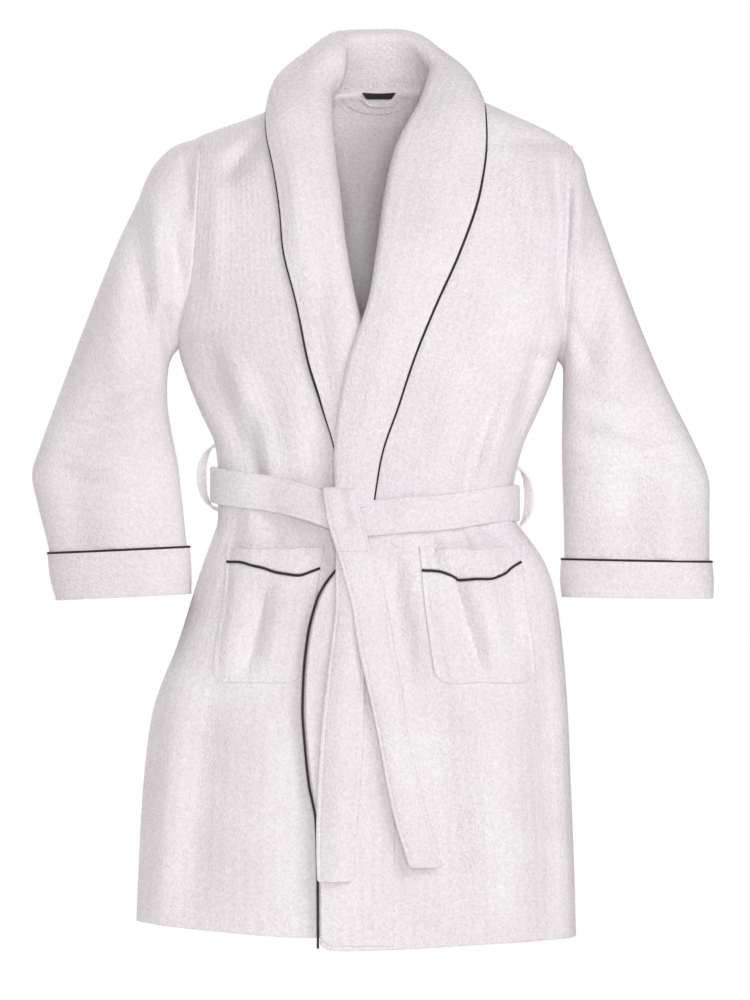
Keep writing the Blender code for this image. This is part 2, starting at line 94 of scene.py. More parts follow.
# Height, then how far the front and the back stand from the middle plane.
DEPTHS = (
    (0.0, 0.098, 0.098), (-0.3, 0.1, 0.096), (-0.4, 0.094, 0.088), (-0.53, 0.08, 0.078),
    (-0.62, 0.088, 0.088), (-0.8, 0.104, 0.106), (-1.11, 0.118, 0.116),
)
# Across and up: the hem of the two fronts and of the back.
HEM_FRONT_RIGHT = ((-0.3, -1.066), (-0.218, -1.074), (-0.062, -1.083), (0.08, -1.083))
HEM_FRONT_LEFT = (
    (-0.066, -1.086), (-0.052, -1.097), (-0.03, -1.099), (0.015, -1.098), (0.172, -1.09), (0.269, -1.086),
)
HEM_BACK = ((-0.301, -1.068), (0.0, -1.078), (0.269, -1.087))
# Heights of a front's free edge, and how far across it lies, below the belt.
FREE_LEFT = (
    (-0.545, -0.014), (-0.575, -0.018), (-0.607, -0.037), (-0.628, -0.053), (-0.647, -0.063),
    (-0.695, -0.0755), (-0.744, -0.0806), (-0.79, -0.082), (-0.832, -0.0793), (-0.883, -0.0741),
    (-0.932, -0.065), (-0.962, -0.0637), (-1.011, -0.0624), (-1.105, -0.062),
)
FREE_RIGHT = ((-0.3, 0.004), (-0.4, 0.012), (-0.5, 0.024), (-0.62, 0.05), (-0.8, 0.064), (-1.11, 0.07))
FOLD_TOP, FOLD_FOOT = (-0.015, -0.566), (0.15, -1.102)  # across and up: the line the overlap opens about
BAND_LEFT = (
    (-0.345, 0.047), (-0.4, 0.05), (-0.446, 0.0455), (-0.516, 0.043), (-0.6, 0.0365), (-0.8, 0.034),
    (-1.11, 0.034),
)

# The collar's stations, from the right belt end round the neck to the left one: the roll, the outer edge and
# the inner edge. Those of the lapels lie on the fronts and give only across and up of the first two.
LAPEL_RIGHT = (
    ((0.008, -0.512), (-0.0365, -0.517)), ((0.003, -0.455), (-0.0415, -0.458)),
    ((-0.003, -0.395), (-0.059, -0.4)),
    ((-0.012, -0.335), (-0.077, -0.342)), ((-0.034, -0.268), (-0.0915, -0.268)),
    ((-0.05, -0.2), (-0.108, -0.202)),
    ((-0.061, -0.132), (-0.113, -0.147)), ((-0.071, -0.078), (-0.1205, -0.096)),
    ((-0.078, -0.04), (-0.128, -0.06)),
)
NECK_RIGHT = (
    ((-0.082, -0.036, 0.0), (-0.131, -0.036, -0.034), (-0.094, -0.038, -0.022)),
    ((-0.089, -0.014, 0.03), (-0.129, -0.004, -0.007), (-0.088, -0.012, -0.004)),
    ((-0.083, 0.014, 0.056), (-0.118, 0.032, -0.004), (-0.0825, 0.012, 0.003)),
    ((-0.058, 0.042, 0.0745), (-0.088, 0.066, -0.002), (-0.062, 0.04, 0.0)),
    ((-0.022, 0.056, 0.0825), (-0.04, 0.088, -0.006), (-0.028, 0.056, 0.0)),
)
NECK_BACK = ((0.014, 0.06, 0.085), (0.01, 0.094, -0.009), (0.01, 0.0605, 0.0))
NECK_LEFT = (
    ((0.05, 0.056, 0.085), (0.06, 0.088, -0.005), (0.048, 0.056, 0.0)),
    ((0.083, 0.04, 0.073), (0.108, 0.066, 0.004), (0.08, 0.04, 0.002)),
    ((0.1, 0.012, 0.05), (0.14, 0.03, 0.002), (0.1, 0.012, 0.008)),
    ((0.093, -0.016, 0.026), (0.149, -0.006, -0.002), (0.104, -0.012, 0.002)),
    ((0.08, -0.04, -0.005), (0.1515, -0.036, -0.026), (0.098, -0.038, -0.016)),
)
LAPEL_LEFT = (
    ((0.064, -0.034), (0.152, -0.06)), ((0.048, -0.072), (0.148, -0.097)), ((0.035, -0.128), (0.138, -0.143)),
    ((0.024, -0.2), (0.1145, -0.207)), ((0.011, -0.268), (0.086, -0.27)), ((-0.014, -0.335), (0.059, -0.336)),
    ((-0.029, -0.4), (0.037, -0.402)), ((-0.035, -0.46), (0.017, -0.46)), ((-0.033, -0.53), (0.005, -0.53)),
)
LEAF_END, ROLL_END = 0.66, 0.86  # shares across the collar: its leaf, then its roll, then what lies under it
ROLL_RADIUS = (0.006, 0.006, 0.006, 0.007, 0.009, 0.011, 0.012, 0.012, 0.011)  # from the belt to the neck

# Each sleeve's ribs from the armhole to the hand: outer end, inner end, half the depth.
RIBS_RIGHT = (
    (-0.219, -0.048, -0.245, -0.311, 0.062), (-0.25, -0.061, -0.255, -0.33, 0.065),
    (-0.279, -0.09, -0.261, -0.345, 0.067), (-0.3, -0.138, -0.263, -0.362, 0.067),
    (-0.323, -0.186, -0.2635, -0.378, 0.066), (-0.356, -0.268, -0.262, -0.406, 0.064),
    (-0.389, -0.355, -0.256, -0.44, 0.062), (-0.421, -0.442, -0.249, -0.475, 0.059),
    (-0.4345, -0.485, -0.246, -0.502, 0.057), (-0.428, -0.522, -0.243, -0.53, 0.056),
    (-0.416, -0.57, -0.2395, -0.564, 0.054), (-0.411, -0.592, -0.237, -0.584, 0.053),
)
CUFF_RIGHT = (
    (-0.413, -0.588, -0.2355, -0.58, 0.056), (-0.4085, -0.618, -0.235, -0.61, 0.0555),
    (-0.402, -0.65, -0.2335, -0.642, 0.055),
)
RIBS_LEFT = (
    (0.264, -0.059, 0.25, -0.33, 0.062), (0.276, -0.079, 0.2545, -0.345, 0.065),
    (0.286, -0.116, 0.256, -0.358, 0.067), (0.306, -0.172, 0.2555, -0.374, 0.067),
    (0.326, -0.228, 0.255, -0.392, 0.066), (0.356, -0.306, 0.2545, -0.422, 0.064),
    (0.386, -0.375, 0.254, -0.45, 0.062), (0.42, -0.443, 0.2545, -0.476, 0.059),
    (0.44, -0.491, 0.255, -0.502, 0.057), (0.4415, -0.532, 0.256, -0.535, 0.056),
    (0.4415, -0.575, 0.257, -0.575, 0.054), (0.4416, -0.602, 0.257, -0.598, 0.053),
)
CUFF_LEFT = (
    (0.4435, -0.5995, 0.255, -0.596, 0.056), (0.444, -0.625, 0.255, -0.622, 0.0555),
    (0.445, -0.648, 0.2555, -0.646, 0.055),
)

# The pockets: height, then how far across an inner or outer side lies. Their piping: share across, height.
POCKET_TOP, POCKET_FOOT = -0.58, -0.756
POCKET_WIDTH = 0.12
POCKET_CORNER = 0.02  # the radius of its lower corners
POCKET_DIP = 0.006  # how far the middle of its mouth hangs
POCKET_IN_LEFT = ((-0.756, 0.086), (-0.7, 0.078), (-0.64, 0.07), (-0.58, 0.065))
POCKET_OUT_LEFT = ((-0.756, 0.214), (-0.715, 0.212), (-0.66, 0.204), (-0.6, 0.1965), (-0.58, 0.194))
POCKET_IN_RIGHT = ((-0.756, -0.084), (-0.7, -0.076), (-0.64, -0.066), (-0.58, -0.056))
POCKET_OUT_RIGHT = ((-0.756, -0.199), (-0.715, -0.1955), (-0.65, -0.185), (-0.6, -0.1825), (-0.58, -0.1815))
PIPE_LEFT = ((0.0, -0.611), (0.14, -0.612), (0.58, -0.6252), (1.0, -0.6005))
PIPE_RIGHT = ((0.0, -0.608), (0.27, -0.6195), (0.8, -0.602), (1.0, -0.6005))

BELT_WIDTH = 0.047
BELT_LEVEL = -0.515
STRAP_STEP = 0.0335  # the strap over the knot, and the end that hangs from it, off the right front
STRAP_CUT = -0.586
STRAP_SPREAD = 0.0018  # how much wider, each side, the free ends are than their tables say
STITCH_ROWS = ((0.12, 0.06), (0.88, 0.06))  # shares across the belt where its edge stitching lies
# Across and up: the belt's middle line in front; at the back it runs level with its two ends.
BELT_FRONT = (
    (-0.197, -0.499), (-0.14, -0.508), (-0.065, -0.526),
    (0.006, -0.544), (0.075, -0.537), (0.193, -0.524),
)
# Height, then the two sides: the strap over the knot with the end that hangs from it, and the end underneath.
STRAP = (
    (-0.505, -0.06, -0.014), (-0.539, -0.0546, -0.0065), (-0.571, -0.0455, 0.0005), (-0.607, -0.0338, 0.009),
    (-0.656, -0.0195, 0.023), (-0.704, -0.012, 0.031), (-0.764, 0.0013, 0.0416), (-0.815, 0.0125, 0.048),
    (-0.889, 0.0262, 0.065), (-0.919, 0.0325, 0.0728), (-0.992, 0.0546, 0.0949),
)
UNDER = (
    (-0.587, -0.042, 0.0), (-0.65, -0.04, -0.002), (-0.702, -0.0455, -0.005), (-0.777, -0.0546, -0.0065),
    (-0.828, -0.0595, -0.0078), (-0.91, -0.064, -0.013), (-0.952, -0.065, -0.0165), (-1.01, -0.0637, -0.0199),
)

# Soft folds: across and up of both ends, width, and height, which is negative for a valley.
FOLDS_FRONT = (
    (-0.232, -0.332, -0.196, -0.405, 0.012, -0.0035),
    (-0.138, -0.05, -0.186, -0.1, 0.016, -0.0075),
    (-0.196, -0.09, -0.2, -0.25, 0.014, 0.003),
    (-0.15, -0.33, -0.11, -0.42, 0.022, -0.003),
    (-0.205, -0.33, -0.15, -0.47, 0.018, -0.007),
    (-0.175, -0.35, -0.12, -0.49, 0.014, 0.005),
    (-0.15, -0.4, -0.138, -0.505, 0.009, -0.0055),
    (-0.1, -0.38, -0.085, -0.51, 0.02, 0.004),
    (0.246, -0.08, 0.252, -0.3, 0.013, -0.007),
    (0.222, -0.09, 0.24, -0.18, 0.012, 0.004),
    (0.15, -0.07, 0.195, -0.22, 0.022, -0.0055),
    (0.185, -0.29, 0.2, -0.38, 0.016, -0.004),
    (0.225, -0.3, 0.19, -0.44, 0.014, -0.0075),
    (0.205, -0.33, 0.15, -0.48, 0.018, 0.006),
    (0.17, -0.38, 0.12, -0.51, 0.014, -0.0065),
    (0.11, -0.36, 0.095, -0.5, 0.022, 0.0035),
    (-0.128, -0.535, -0.112, -0.58, 0.01, -0.0032),
    (-0.15, -0.53, -0.146, -0.6, 0.011, 0.0026),
    (-0.098, -0.55, -0.078, -0.59, 0.009, -0.0026),
    (-0.17, -0.54, -0.178, -0.64, 0.01, -0.0024),
    (0.074, -0.56, 0.09, -0.59, 0.009, -0.0028),
    (0.115, -0.555, 0.128, -0.59, 0.01, -0.0032),
    (0.1, -0.56, 0.108, -0.61, 0.01, 0.0022),
    (0.145, -0.55, 0.178, -0.585, 0.009, -0.0034),
    (0.135, -0.56, 0.155, -0.61, 0.01, 0.0025),
    (-0.128, -0.64, -0.156, -0.74, 0.013, -0.006),
    (-0.1, -0.62, -0.125, -0.72, 0.014, 0.004),
    (-0.165, -0.62, -0.178, -0.73, 0.012, 0.003),
    (0.112, -0.62, 0.146, -0.745, 0.012, -0.006),
    (0.14, -0.62, 0.168, -0.72, 0.013, 0.0045),
    (0.09, -0.64, 0.112, -0.74, 0.012, 0.003),
    (0.178, -0.61, 0.19, -0.7, 0.01, -0.0035),
    (0.028, -0.6, 0.055, -0.74, 0.016, -0.006),
    (0.05, -0.58, 0.08, -0.76, 0.016, 0.003),
    (0.075, -0.76, 0.11, -1.06, 0.03, -0.005),
    (0.15, -0.78, 0.185, -1.08, 0.035, 0.006),
    (0.225, -0.7, 0.235, -1.08, 0.022, -0.006),
    (-0.03, -0.7, -0.04, -1.09, 0.018, 0.004),
    (-0.12, -0.8, -0.135, -1.07, 0.035, 0.006),
    (-0.2, -0.76, -0.225, -1.06, 0.026, -0.007),
    (-0.25, -0.8, -0.268, -1.06, 0.018, 0.005),
    (-0.205, -0.82, -0.09, -0.822, 0.005, -0.0009),
)
FOLDS_BACK = (
    (-0.12, -0.15, -0.15, -0.43, 0.035, 0.006),
    (0.13, -0.15, 0.15, -0.43, 0.035, 0.006),
    (0.0, -0.25, 0.005, -0.48, 0.04, -0.006),
    (-0.06, -0.43, -0.05, -0.52, 0.014, 0.004),
    (0.07, -0.43, 0.06, -0.52, 0.014, 0.004),
    (-0.13, -0.545, -0.15, -0.7, 0.018, -0.007),
    (-0.06, -0.545, -0.07, -0.76, 0.02, 0.006),
    (0.01, -0.545, 0.0, -0.74, 0.016, -0.006),
    (0.08, -0.545, 0.095, -0.78, 0.02, 0.006),
    (0.15, -0.545, 0.17, -0.7, 0.016, -0.006),
    (-0.18, -0.76, -0.205, -1.08, 0.035, -0.009),
    (-0.08, -0.7, -0.095, -1.08, 0.04, 0.009),
    (0.02, -0.72, 0.025, -1.08, 0.032, -0.009),
    (0.12, -0.72, 0.14, -1.08, 0.04, 0.009),
    (0.2, -0.76, 0.215, -1.08, 0.026, -0.008),
)
FOLDS_RIGHT_SLEEVE = (
    (-0.236, -0.08, -0.232, -0.15, 0.012, -0.006),
    (-0.255, -0.18, -0.24, -0.25, 0.013, -0.006),
    (-0.276, -0.13, -0.262, -0.28, 0.014, 0.004),
    (-0.262, -0.27, -0.262, -0.33, 0.008, -0.007),
    (-0.3, -0.15, -0.285, -0.33, 0.018, -0.006),
    (-0.33, -0.2, -0.31, -0.42, 0.026, 0.005),
    (-0.268, -0.35, -0.345, -0.395, 0.012, -0.0045),
    (-0.262, -0.4, -0.38, -0.44, 0.013, -0.004),
    (-0.3, -0.4, -0.4, -0.405, 0.016, 0.0035),
    (-0.42, -0.48, -0.3, -0.52, 0.018, -0.0035),
    (-0.33, -0.45, -0.32, -0.59, 0.026, 0.004),
    (-0.385, -0.47, -0.37, -0.59, 0.02, -0.0035),
)
FOLDS_LEFT_SLEEVE = (
    (0.272, -0.11, 0.27, -0.2, 0.009, 0.0035),
    (0.3, -0.17, 0.29, -0.33, 0.018, -0.004),
    (0.265, -0.29, 0.29, -0.35, 0.011, -0.0045),
    (0.33, -0.23, 0.32, -0.42, 0.026, 0.0045),
    (0.262, -0.38, 0.36, -0.42, 0.015, -0.0032),
    (0.262, -0.43, 0.4, -0.47, 0.017, -0.003),
    (0.3, -0.415, 0.4, -0.44, 0.018, 0.0022),
    (0.34, -0.48, 0.34, -0.6, 0.024, -0.004),
    (0.395, -0.48, 0.395, -0.6, 0.02, 0.004),
)
FOLDS_COLLAR = (
    (-0.074, -0.045, -0.06, -0.13, 0.013, -0.005),
    (-0.052, -0.19, -0.058, -0.27, 0.014, -0.005),
    (-0.06, -0.28, -0.052, -0.4, 0.012, -0.004),
    (-0.095, -0.08, -0.088, -0.2, 0.013, 0.0035),
    (-0.06, -0.4, -0.04, -0.5, 0.01, 0.003),
    (0.1, -0.06, 0.085, -0.2, 0.03, 0.003),
    (0.04, -0.23, 0.0, -0.42, 0.016, 0.003),
)


# ---------------------------------------------------------------- small tools
def linear(code):
    """An sRGB hex colour as linear light."""
    parts = [int(code[i : i + 2], 16) / 255 for i in (1, 3, 5)]
    return tuple(c / 12.92 if c <= 0.04045 else ((c + 0.055) / 1.055) ** 2.4 for c in parts)


def smooth(t):
    t = np.clip(t, 0.0, 1.0)
    return t * t * (3 - 2 * t)


def unit(rows):
    return rows / np.maximum(np.linalg.norm(rows, axis=-1, keepdims=True), 1e-9)


def keyed(value, keys, column=1):
    """A smooth curve, without overshoot, through a key table's column at these values of its first column."""
    rows = np.array(sorted(keys), float)
    at, level = rows[:, 0], rows[:, column]
    slope = np.diff(level) / np.diff(at)
    turn = np.zeros_like(level)
    both = slope[:-1] * slope[1:]
    turn[1:-1] = np.where(both > 0, 2 * both / np.where(both > 0, slope[:-1] + slope[1:], 1), 0)
    turn[0], turn[-1] = slope[0], slope[-1]
    value = np.clip(np.asarray(value, float), at[0], at[-1])
    i = np.clip(np.searchsorted(at, value) - 1, 0, len(at) - 2)
    wide = at[i + 1] - at[i]
    t = (value - at[i]) / wide
    rise = (3 - 2 * t) * t * t * (level[i + 1] - level[i])
    return level[i] + rise + wide * t * (1 - t) * ((1 - t) * turn[i] - t * turn[i + 1])


def path(points, t):
    """Points at shares t along a smooth curve through these points, each step counting the same."""
    rows = np.array(points, float)
    at = np.clip(np.asarray(t, float), 0, 1) * (len(rows) - 1)
    i = np.minimum(at.astype(int), len(rows) - 2)
    f = (at - i)[..., None]
    rows = np.vstack([2 * rows[0] - rows[1], rows, 2 * rows[-1] - rows[-2]])
    a, b, c, d = (rows[i + k] for k in range(4))
    return b + 0.5 * f * ((c - a) + f * ((2 * a - 5 * b + 4 * c - d) + f * (3 * b - a - 3 * c + d)))


def even(points, count):
    """Shares at which a curve's points lie evenly."""
    fine = np.linspace(0, 1, 600)
    step = np.linalg.norm(np.diff(path(points, fine), axis=0), axis=1)
    run = np.concatenate([[0], np.cumsum(step)])
    return np.interp(np.linspace(0, run[-1], count), run, fine)


def folds(x, z, ridges):
    """The height of these soft folds at (x, z)."""
    high = np.zeros(np.broadcast(x, z).shape)
    for x1, z1, x2, z2, width, height in ridges:
        run = np.array((x2 - x1, z2 - z1))
        length = math.hypot(*run)
        run = run / length
        along = ((x - x1) * run[0] + (z - z1) * run[1]) / length
        off = (x - x1) * -run[1] + (z - z1) * run[0]
        ends = smooth((along + 0.25) / 0.5) * smooth((1.25 - along) / 0.5)
        high += height * ends * np.exp(-((off / width) ** 2))
    return FOLD_DEPTH * high


def rumple(x, z, seed, size):
    """Slow unevenness of hanging cloth, about one high."""
    turns = np.random.default_rng(seed).uniform(0, 2 * math.pi, (7, 2))
    total = sum(
        np.sin((x * math.cos(a) + z * math.sin(a) * 0.6) * 2 * math.pi / (size * (0.7 + 0.13 * k)) + b)
        for k, (a, b) in enumerate(turns)
    )
    return total / 4


# ---------------------------------------------------------------- the body's surfaces
def sides(z):
    return keyed(z, SIDES, 1), keyed(z, SIDES, 2)


def shoulder(x):
    return keyed(x, SHOULDER)


def armhole(x, z):
    """Half the depth of the armhole's loop at this height."""
    tip = np.where(x < NECK_X, TIP_RIGHT, TIP_LEFT)
    pit = np.where(x < NECK_X, ARMPIT_RIGHT, ARMPIT_LEFT)
    t = np.clip((z - pit) / (tip - pit), 0, 1)
    return ARM_DEPTH * np.sqrt(4 * t * (1 - t))


def swell(x, z, depth):
    """How far a body panel stands off the middle plane, and its share of fullness: 0 at the side seams."""
    right, left = sides(z)
    a = np.clip(np.abs((x - (right + left) / 2) / ((left - right) / 2)), 0, 1)
    fall = np.clip((shoulder(x) - z) / SLOPE, 0, 1)
    full = depth * np.sqrt(1 - (1 - fall) ** 2)
    edge = np.minimum(armhole(x, z), full)
    closed = (1 - a**ROUNDNESS) ** (1 / ROUNDNESS)
    opened = (1 - a**2.4) ** (1 / 1.5)
    pit = np.where(x < NECK_X, ARMPIT_RIGHT, ARMPIT_LEFT)
    share = closed + (opened - closed) * smooth((z - pit) / 0.1)
    groove = 0.0016 * np.exp(-(((1 - a) * (left - right) / 2 / 0.005) ** 2))
    return edge + (full - edge) * share - groove * smooth((z - pit) / 0.02), share


def front(x, z, step=0.0):
    """y of the fronts, folds and all, with step more in front of the right front's middle."""
    high, share = swell(x, z, keyed(z, DEPTHS, 1))
    wave = folds(x, z, FOLDS_FRONT) + 0.0007 * rumple(x, z, 3, 0.11)
    return -(SEAM + high + (step + wave) * smooth(share * 2.2))


def back(x, z, step=0.0):
    """y of the back, which rises to the back of the neck in the middle."""
    neck = NECK_DEPTH * np.sqrt(np.clip(1 - np.abs((x - NECK_X) / (NECK_HALF + 0.008)) ** 2, 0, 1))
    high, share = swell(x, z, keyed(z, DEPTHS, 2))
    fall = np.clip((shoulder(x) - z) / SLOPE, 0, 1)
    round_off = 1 - np.sqrt(1 - (1 - fall) ** 2)
    wave = folds(x, z, FOLDS_BACK) + 0.0008 * rumple(x, z, 8, 0.13)
    return SEAM + high + neck * round_off + (step + wave * (1 - round_off)) * smooth(share * 2.2)


def over(z):
    """How far the left front stands off the right one: they part towards the shoulders."""
    return OVER * smooth((-0.13 - z) / 0.2)


def standing_off(surface, x, z, step, off):
    """Points off metres square outside a surface at (x, z)."""
    e = 0.001
    slope_x = (surface(x + e, z, step) - surface(x - e, z, step)) / (2 * e)
    slope_z = (surface(x, z + e, step) - surface(x, z - e, step)) / (2 * e)
    outward = unit(np.stack([slope_x, -np.ones_like(slope_x), slope_z], -1))
    return np.stack([x, surface(x, z, step), z], -1) + outward * np.asarray(off)[..., None]


def spread(count, *dense):
    """count + 1 shares from 0 to 1, closer together within a hand's breadth of each (share, width) given."""
    fine = np.linspace(0, 1, 2001)
    weight = np.ones_like(fine)
    for at, wide in dense:
        weight += 3.0 * np.exp(-(((fine - at) / wide) ** 2))
    run = np.concatenate([[0], np.cumsum((weight[1:] + weight[:-1]) / 2)])
    return np.interp(np.linspace(0, run[-1], count + 1), run, fine)


def finish_piece(piece, body, stands_for, look):
    """Dresses a piece, parents it to its body's empty or bakes its transform, and hides the parts it stands
    for.
    """
    piece.data.materials.clear()
    piece.data.materials.append(looks()[look])
    if isinstance(body, str):
        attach(piece, body)
    else:
        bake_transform(piece)
    if stands_for:
        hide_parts(*stands_for)
    return piece


def only(piece):
    bpy.ops.object.select_all(action="DESELECT")
    piece.select_set(True)
    bpy.context.view_layer.objects.active = piece


def apply_all(piece):
    only(piece)
    for modifier in list(piece.modifiers):
        bpy.ops.object.modifier_apply(modifier=modifier.name)


def cloth(name, place, us, vs, thick, ring=False, levels=1):
    """A closed sheet of cloth: place(u, v) lays its grid, which is thickened to both sides and rounded.

    Its UV map is in metres, across and along, so that a weave follows the cloth.
    """
    net = bmesh.new()
    bmesh.ops.create_grid(net, x_segments=len(us) - 1, y_segments=len(vs) - 1, size=0.5)
    mesh = bpy.data.meshes.new(name)
    net.to_mesh(mesh)
    net.free()
    co = np.empty(len(mesh.vertices) * 3, np.float32)
    mesh.vertices.foreach_get("co", co)
    co = co.reshape(-1, 3)
    i = np.rint((co[:, 0] + 0.5) * (len(us) - 1)).astype(int)
    j = np.rint((co[:, 1] + 0.5) * (len(vs) - 1)).astype(int)
    u, v = np.meshgrid(us, vs, indexing="ij")
    laid = np.asarray(place(u, v), float)
    mesh.vertices.foreach_set("co", laid[i, j].astype(np.float32).ravel())
    wide = np.concatenate([[0], np.cumsum(np.linalg.norm(np.diff(laid, axis=0), axis=2).mean(1))])
    long = np.concatenate([[0], np.cumsum(np.linalg.norm(np.diff(laid, axis=1), axis=2).mean(0))])
    across, down = np.diff(laid, axis=0)[:, :-1], np.diff(laid, axis=1)[:-1]
    area = float(np.linalg.norm(np.cross(across, down), axis=2).sum())
    corner = np.empty(len(mesh.loops), np.int32)
    mesh.loops.foreach_get("vertex_index", corner)
    weave = mesh.uv_layers.new(name="weave")
    weave.data.foreach_set("uv", np.stack([wide[i[corner]], long[j[corner]]], 1).astype(np.float32).ravel())
    if ring:
        net = bmesh.new()
        net.from_mesh(mesh)
        bmesh.ops.remove_doubles(net, verts=net.verts, dist=0.00002)
        net.to_mesh(mesh)
        net.free()
    piece = bpy.data.objects.new(name, mesh)
    bpy.context.scene.collection.objects.link(piece)
    widest = float(np.linalg.norm(np.diff(laid, axis=0), axis=2).sum(0).max())
    longest = float(np.linalg.norm(np.diff(laid, axis=1), axis=2).sum(1).max())
    piece["cut"] = (widest, longest, min(area, widest * longest))
    wall = piece.modifiers.new("thickness", "SOLIDIFY")
    wall.thickness = thick
    wall.offset = 0.0
    if levels:
        round_off = piece.modifiers.new("soft edges", "SUBSURF")
        round_off.levels = levels
        round_off.render_levels = levels
    apply_all(piece)
    if piece.data.polygons[0].area > 0:
        check = bmesh.new()
        check.from_mesh(piece.data)
        if check.calc_volume(signed=True) < 0:
            bmesh.ops.reverse_faces(check, faces=check.faces)
            check.to_mesh(piece.data)
        check.free()
    piece.data.shade_smooth()
    return piece


def tube(name, points, radius, closed=False):
    """A cord through these points, with round ends closed."""
    line = bpy.data.curves.new(name, "CURVE")
    line.dimensions = "3D"
    line.bevel_depth = radius
    line.bevel_resolution = 2
    line.use_fill_caps = True
    run = line.splines.new("POLY")
    run.points.add(len(points) - 1)
    run.points.foreach_set("co", np.hstack([points, np.ones((len(points), 1))]).astype(np.float32).ravel())
    run.use_cyclic_u = closed
    guide = bpy.data.objects.new(name + "_line", line)
    bpy.context.scene.collection.objects.link(guide)
    bpy.context.view_layer.update()
    mesh = bpy.data.meshes.new_from_object(guide.evaluated_get(bpy.context.evaluated_depsgraph_get()))
    mesh.name = name
    bpy.data.objects.remove(guide)
    bpy.data.curves.remove(line)
    net = bmesh.new()
    net.from_mesh(mesh)
    bmesh.ops.remove_doubles(net, verts=net.verts, dist=0.00001)
    bmesh.ops.recalc_face_normals(net, faces=net.faces)
    net.to_mesh(mesh)
    net.free()
    mesh.shade_smooth()
    piece = bpy.data.objects.new(name, mesh)
    bpy.context.scene.collection.objects.link(piece)
    return piece


def blend_overlap():
    """The bend of the cloth that crosses the line which the overlap opens about."""
    top = Vector((FOLD_TOP[0], 0, FOLD_TOP[1]))
    down = Vector((FOLD_FOOT[0] - FOLD_TOP[0], 0, FOLD_FOOT[1] - FOLD_TOP[1])).normalized()
    out = Vector((-down.z, 0, down.x))
    return "robe", "overlap", top + out * 0.015, top - out * 0.025


# ---------------------------------------------------------------- materials
def node(tree, kind, settings=(), links=()):
    """Adds a shader node, sets its properties or inputs by name, and links {input: output} into it."""
    made = tree.nodes.new("ShaderNode" + kind)
    made.location = (-220 * len(tree.nodes), 0)
    for name, value in dict(settings).items():
        if isinstance(name, str) and hasattr(made, name):
            setattr(made, name, value)
        else:
            made.inputs[name].default_value = value
    for name, source in dict(links).items():
        tree.links.new(source, made.inputs[name])
    return made


def principled(name, colour, roughness, sheen=0.0, sheen_rough=0.5):
    look = bpy.data.materials.new(name)
    look.use_nodes = True
    shader = look.node_tree.nodes["Principled BSDF"]
    shader.inputs["Base Color"].default_value = (*colour, 1)
    shader.inputs["Roughness"].default_value = roughness
    shader.inputs["Sheen Weight"].default_value = sheen
    shader.inputs["Sheen Roughness"].default_value = sheen_rough
    shader.inputs["Specular IOR Level"].default_value = 0.25
    return look, look.node_tree, shader


def dress(tree, shader, base, bump):
    """Gives a shader its colour and its bump."""
    tree.links.new(base.outputs[0], shader.inputs["Base Color"])
    tree.links.new(bump.outputs[0], shader.inputs["Normal"])


def terry_material(name, shade, light, rib_share):
    """Cotton terry: loops about 2 mm apart scatter the light, so it is matt and fuzzy at the rim. The speckle
    in its colour is painted shade between the loops and a painted highlight on their tips.

    The loops are drawn at 3 mm, a little coarser than the real ones, because finer ones don't show. Faint
    ribs run along the cloth, where the weave changes.
    """
    look, tree, shader = principled(name, light, 0.95, sheen=0.12, sheen_rough=0.6)
    place = node(tree, "TexCoord").outputs
    cloth_place = {"Vector": place["Object"]}
    patch = node(tree, "TexNoise", {"Scale": 7.0, "Detail": 3.0}, cloth_place)
    loops = node(tree, "TexNoise", {"Scale": 250.0, "Detail": 3.0, "Roughness": 0.7}, cloth_place)
    curls = node(tree, "TexVoronoi", {"Scale": 420.0}, cloth_place)
    across = node(tree, "SeparateXYZ", (), {"Vector": place["UV"]}).outputs["X"]
    turn = node(tree, "Math", {"operation": "MULTIPLY", 1: 2 * math.pi / RIBS_APART}, {0: across})
    rib = node(tree, "Math", {"operation": "SINE"}, {0: turn.outputs[0]})
    tint = node(tree, "MapRange", {"From Min": 0.35, "From Max": 0.65}, {"Value": patch.outputs["Fac"]})
    colours = {"data_type": "RGBA", 6: (*shade, 1), 7: (*light, 1)}
    base = node(tree, "Mix", colours, {0: tint.outputs[0]})
    # The speckle: the loop noise that raises the bump also scales the colour, as painted shade in the hollows
    # between loops and a painted highlight on their tips.
    loop_shade_range = {"From Min": 0.3, "From Max": 0.7, "To Min": 0.9, "To Max": 1.09}
    loop_shade_speck = node(tree, "MapRange", loop_shade_range, {"Value": loops.outputs["Fac"]})
    add = "MULTIPLY_ADD"
    tone = {0: rib.outputs[0], 2: loop_shade_speck.outputs[0]}
    # Faint rib stripes of the weave, added to the painted loop shade and highlight.
    ribs_and_loop_shade = node(tree, "Math", {"operation": add, 1: 0.009 * rib_share}, tone)
    colour = {0: base.outputs[2], "Scale": ribs_and_loop_shade.outputs[0]}
    mixed = node(tree, "VectorMath", {"operation": "SCALE"}, colour)
    loop_high = {0: curls.outputs["Distance"], 2: loops.outputs["Fac"]}
    pile = node(tree, "Math", {"operation": add, 1: -0.5}, loop_high)
    rib_high = {0: rib.outputs[0], 2: pile.outputs[0]}
    high = node(tree, "Math", {"operation": add, 1: 0.09 * rib_share}, rib_high)
    bump = node(tree, "Bump", {"Strength": 0.8, "Distance": 0.0021}, {"Height": high.outputs[0]})
    dress(tree, shader, mixed, bump)
    return look


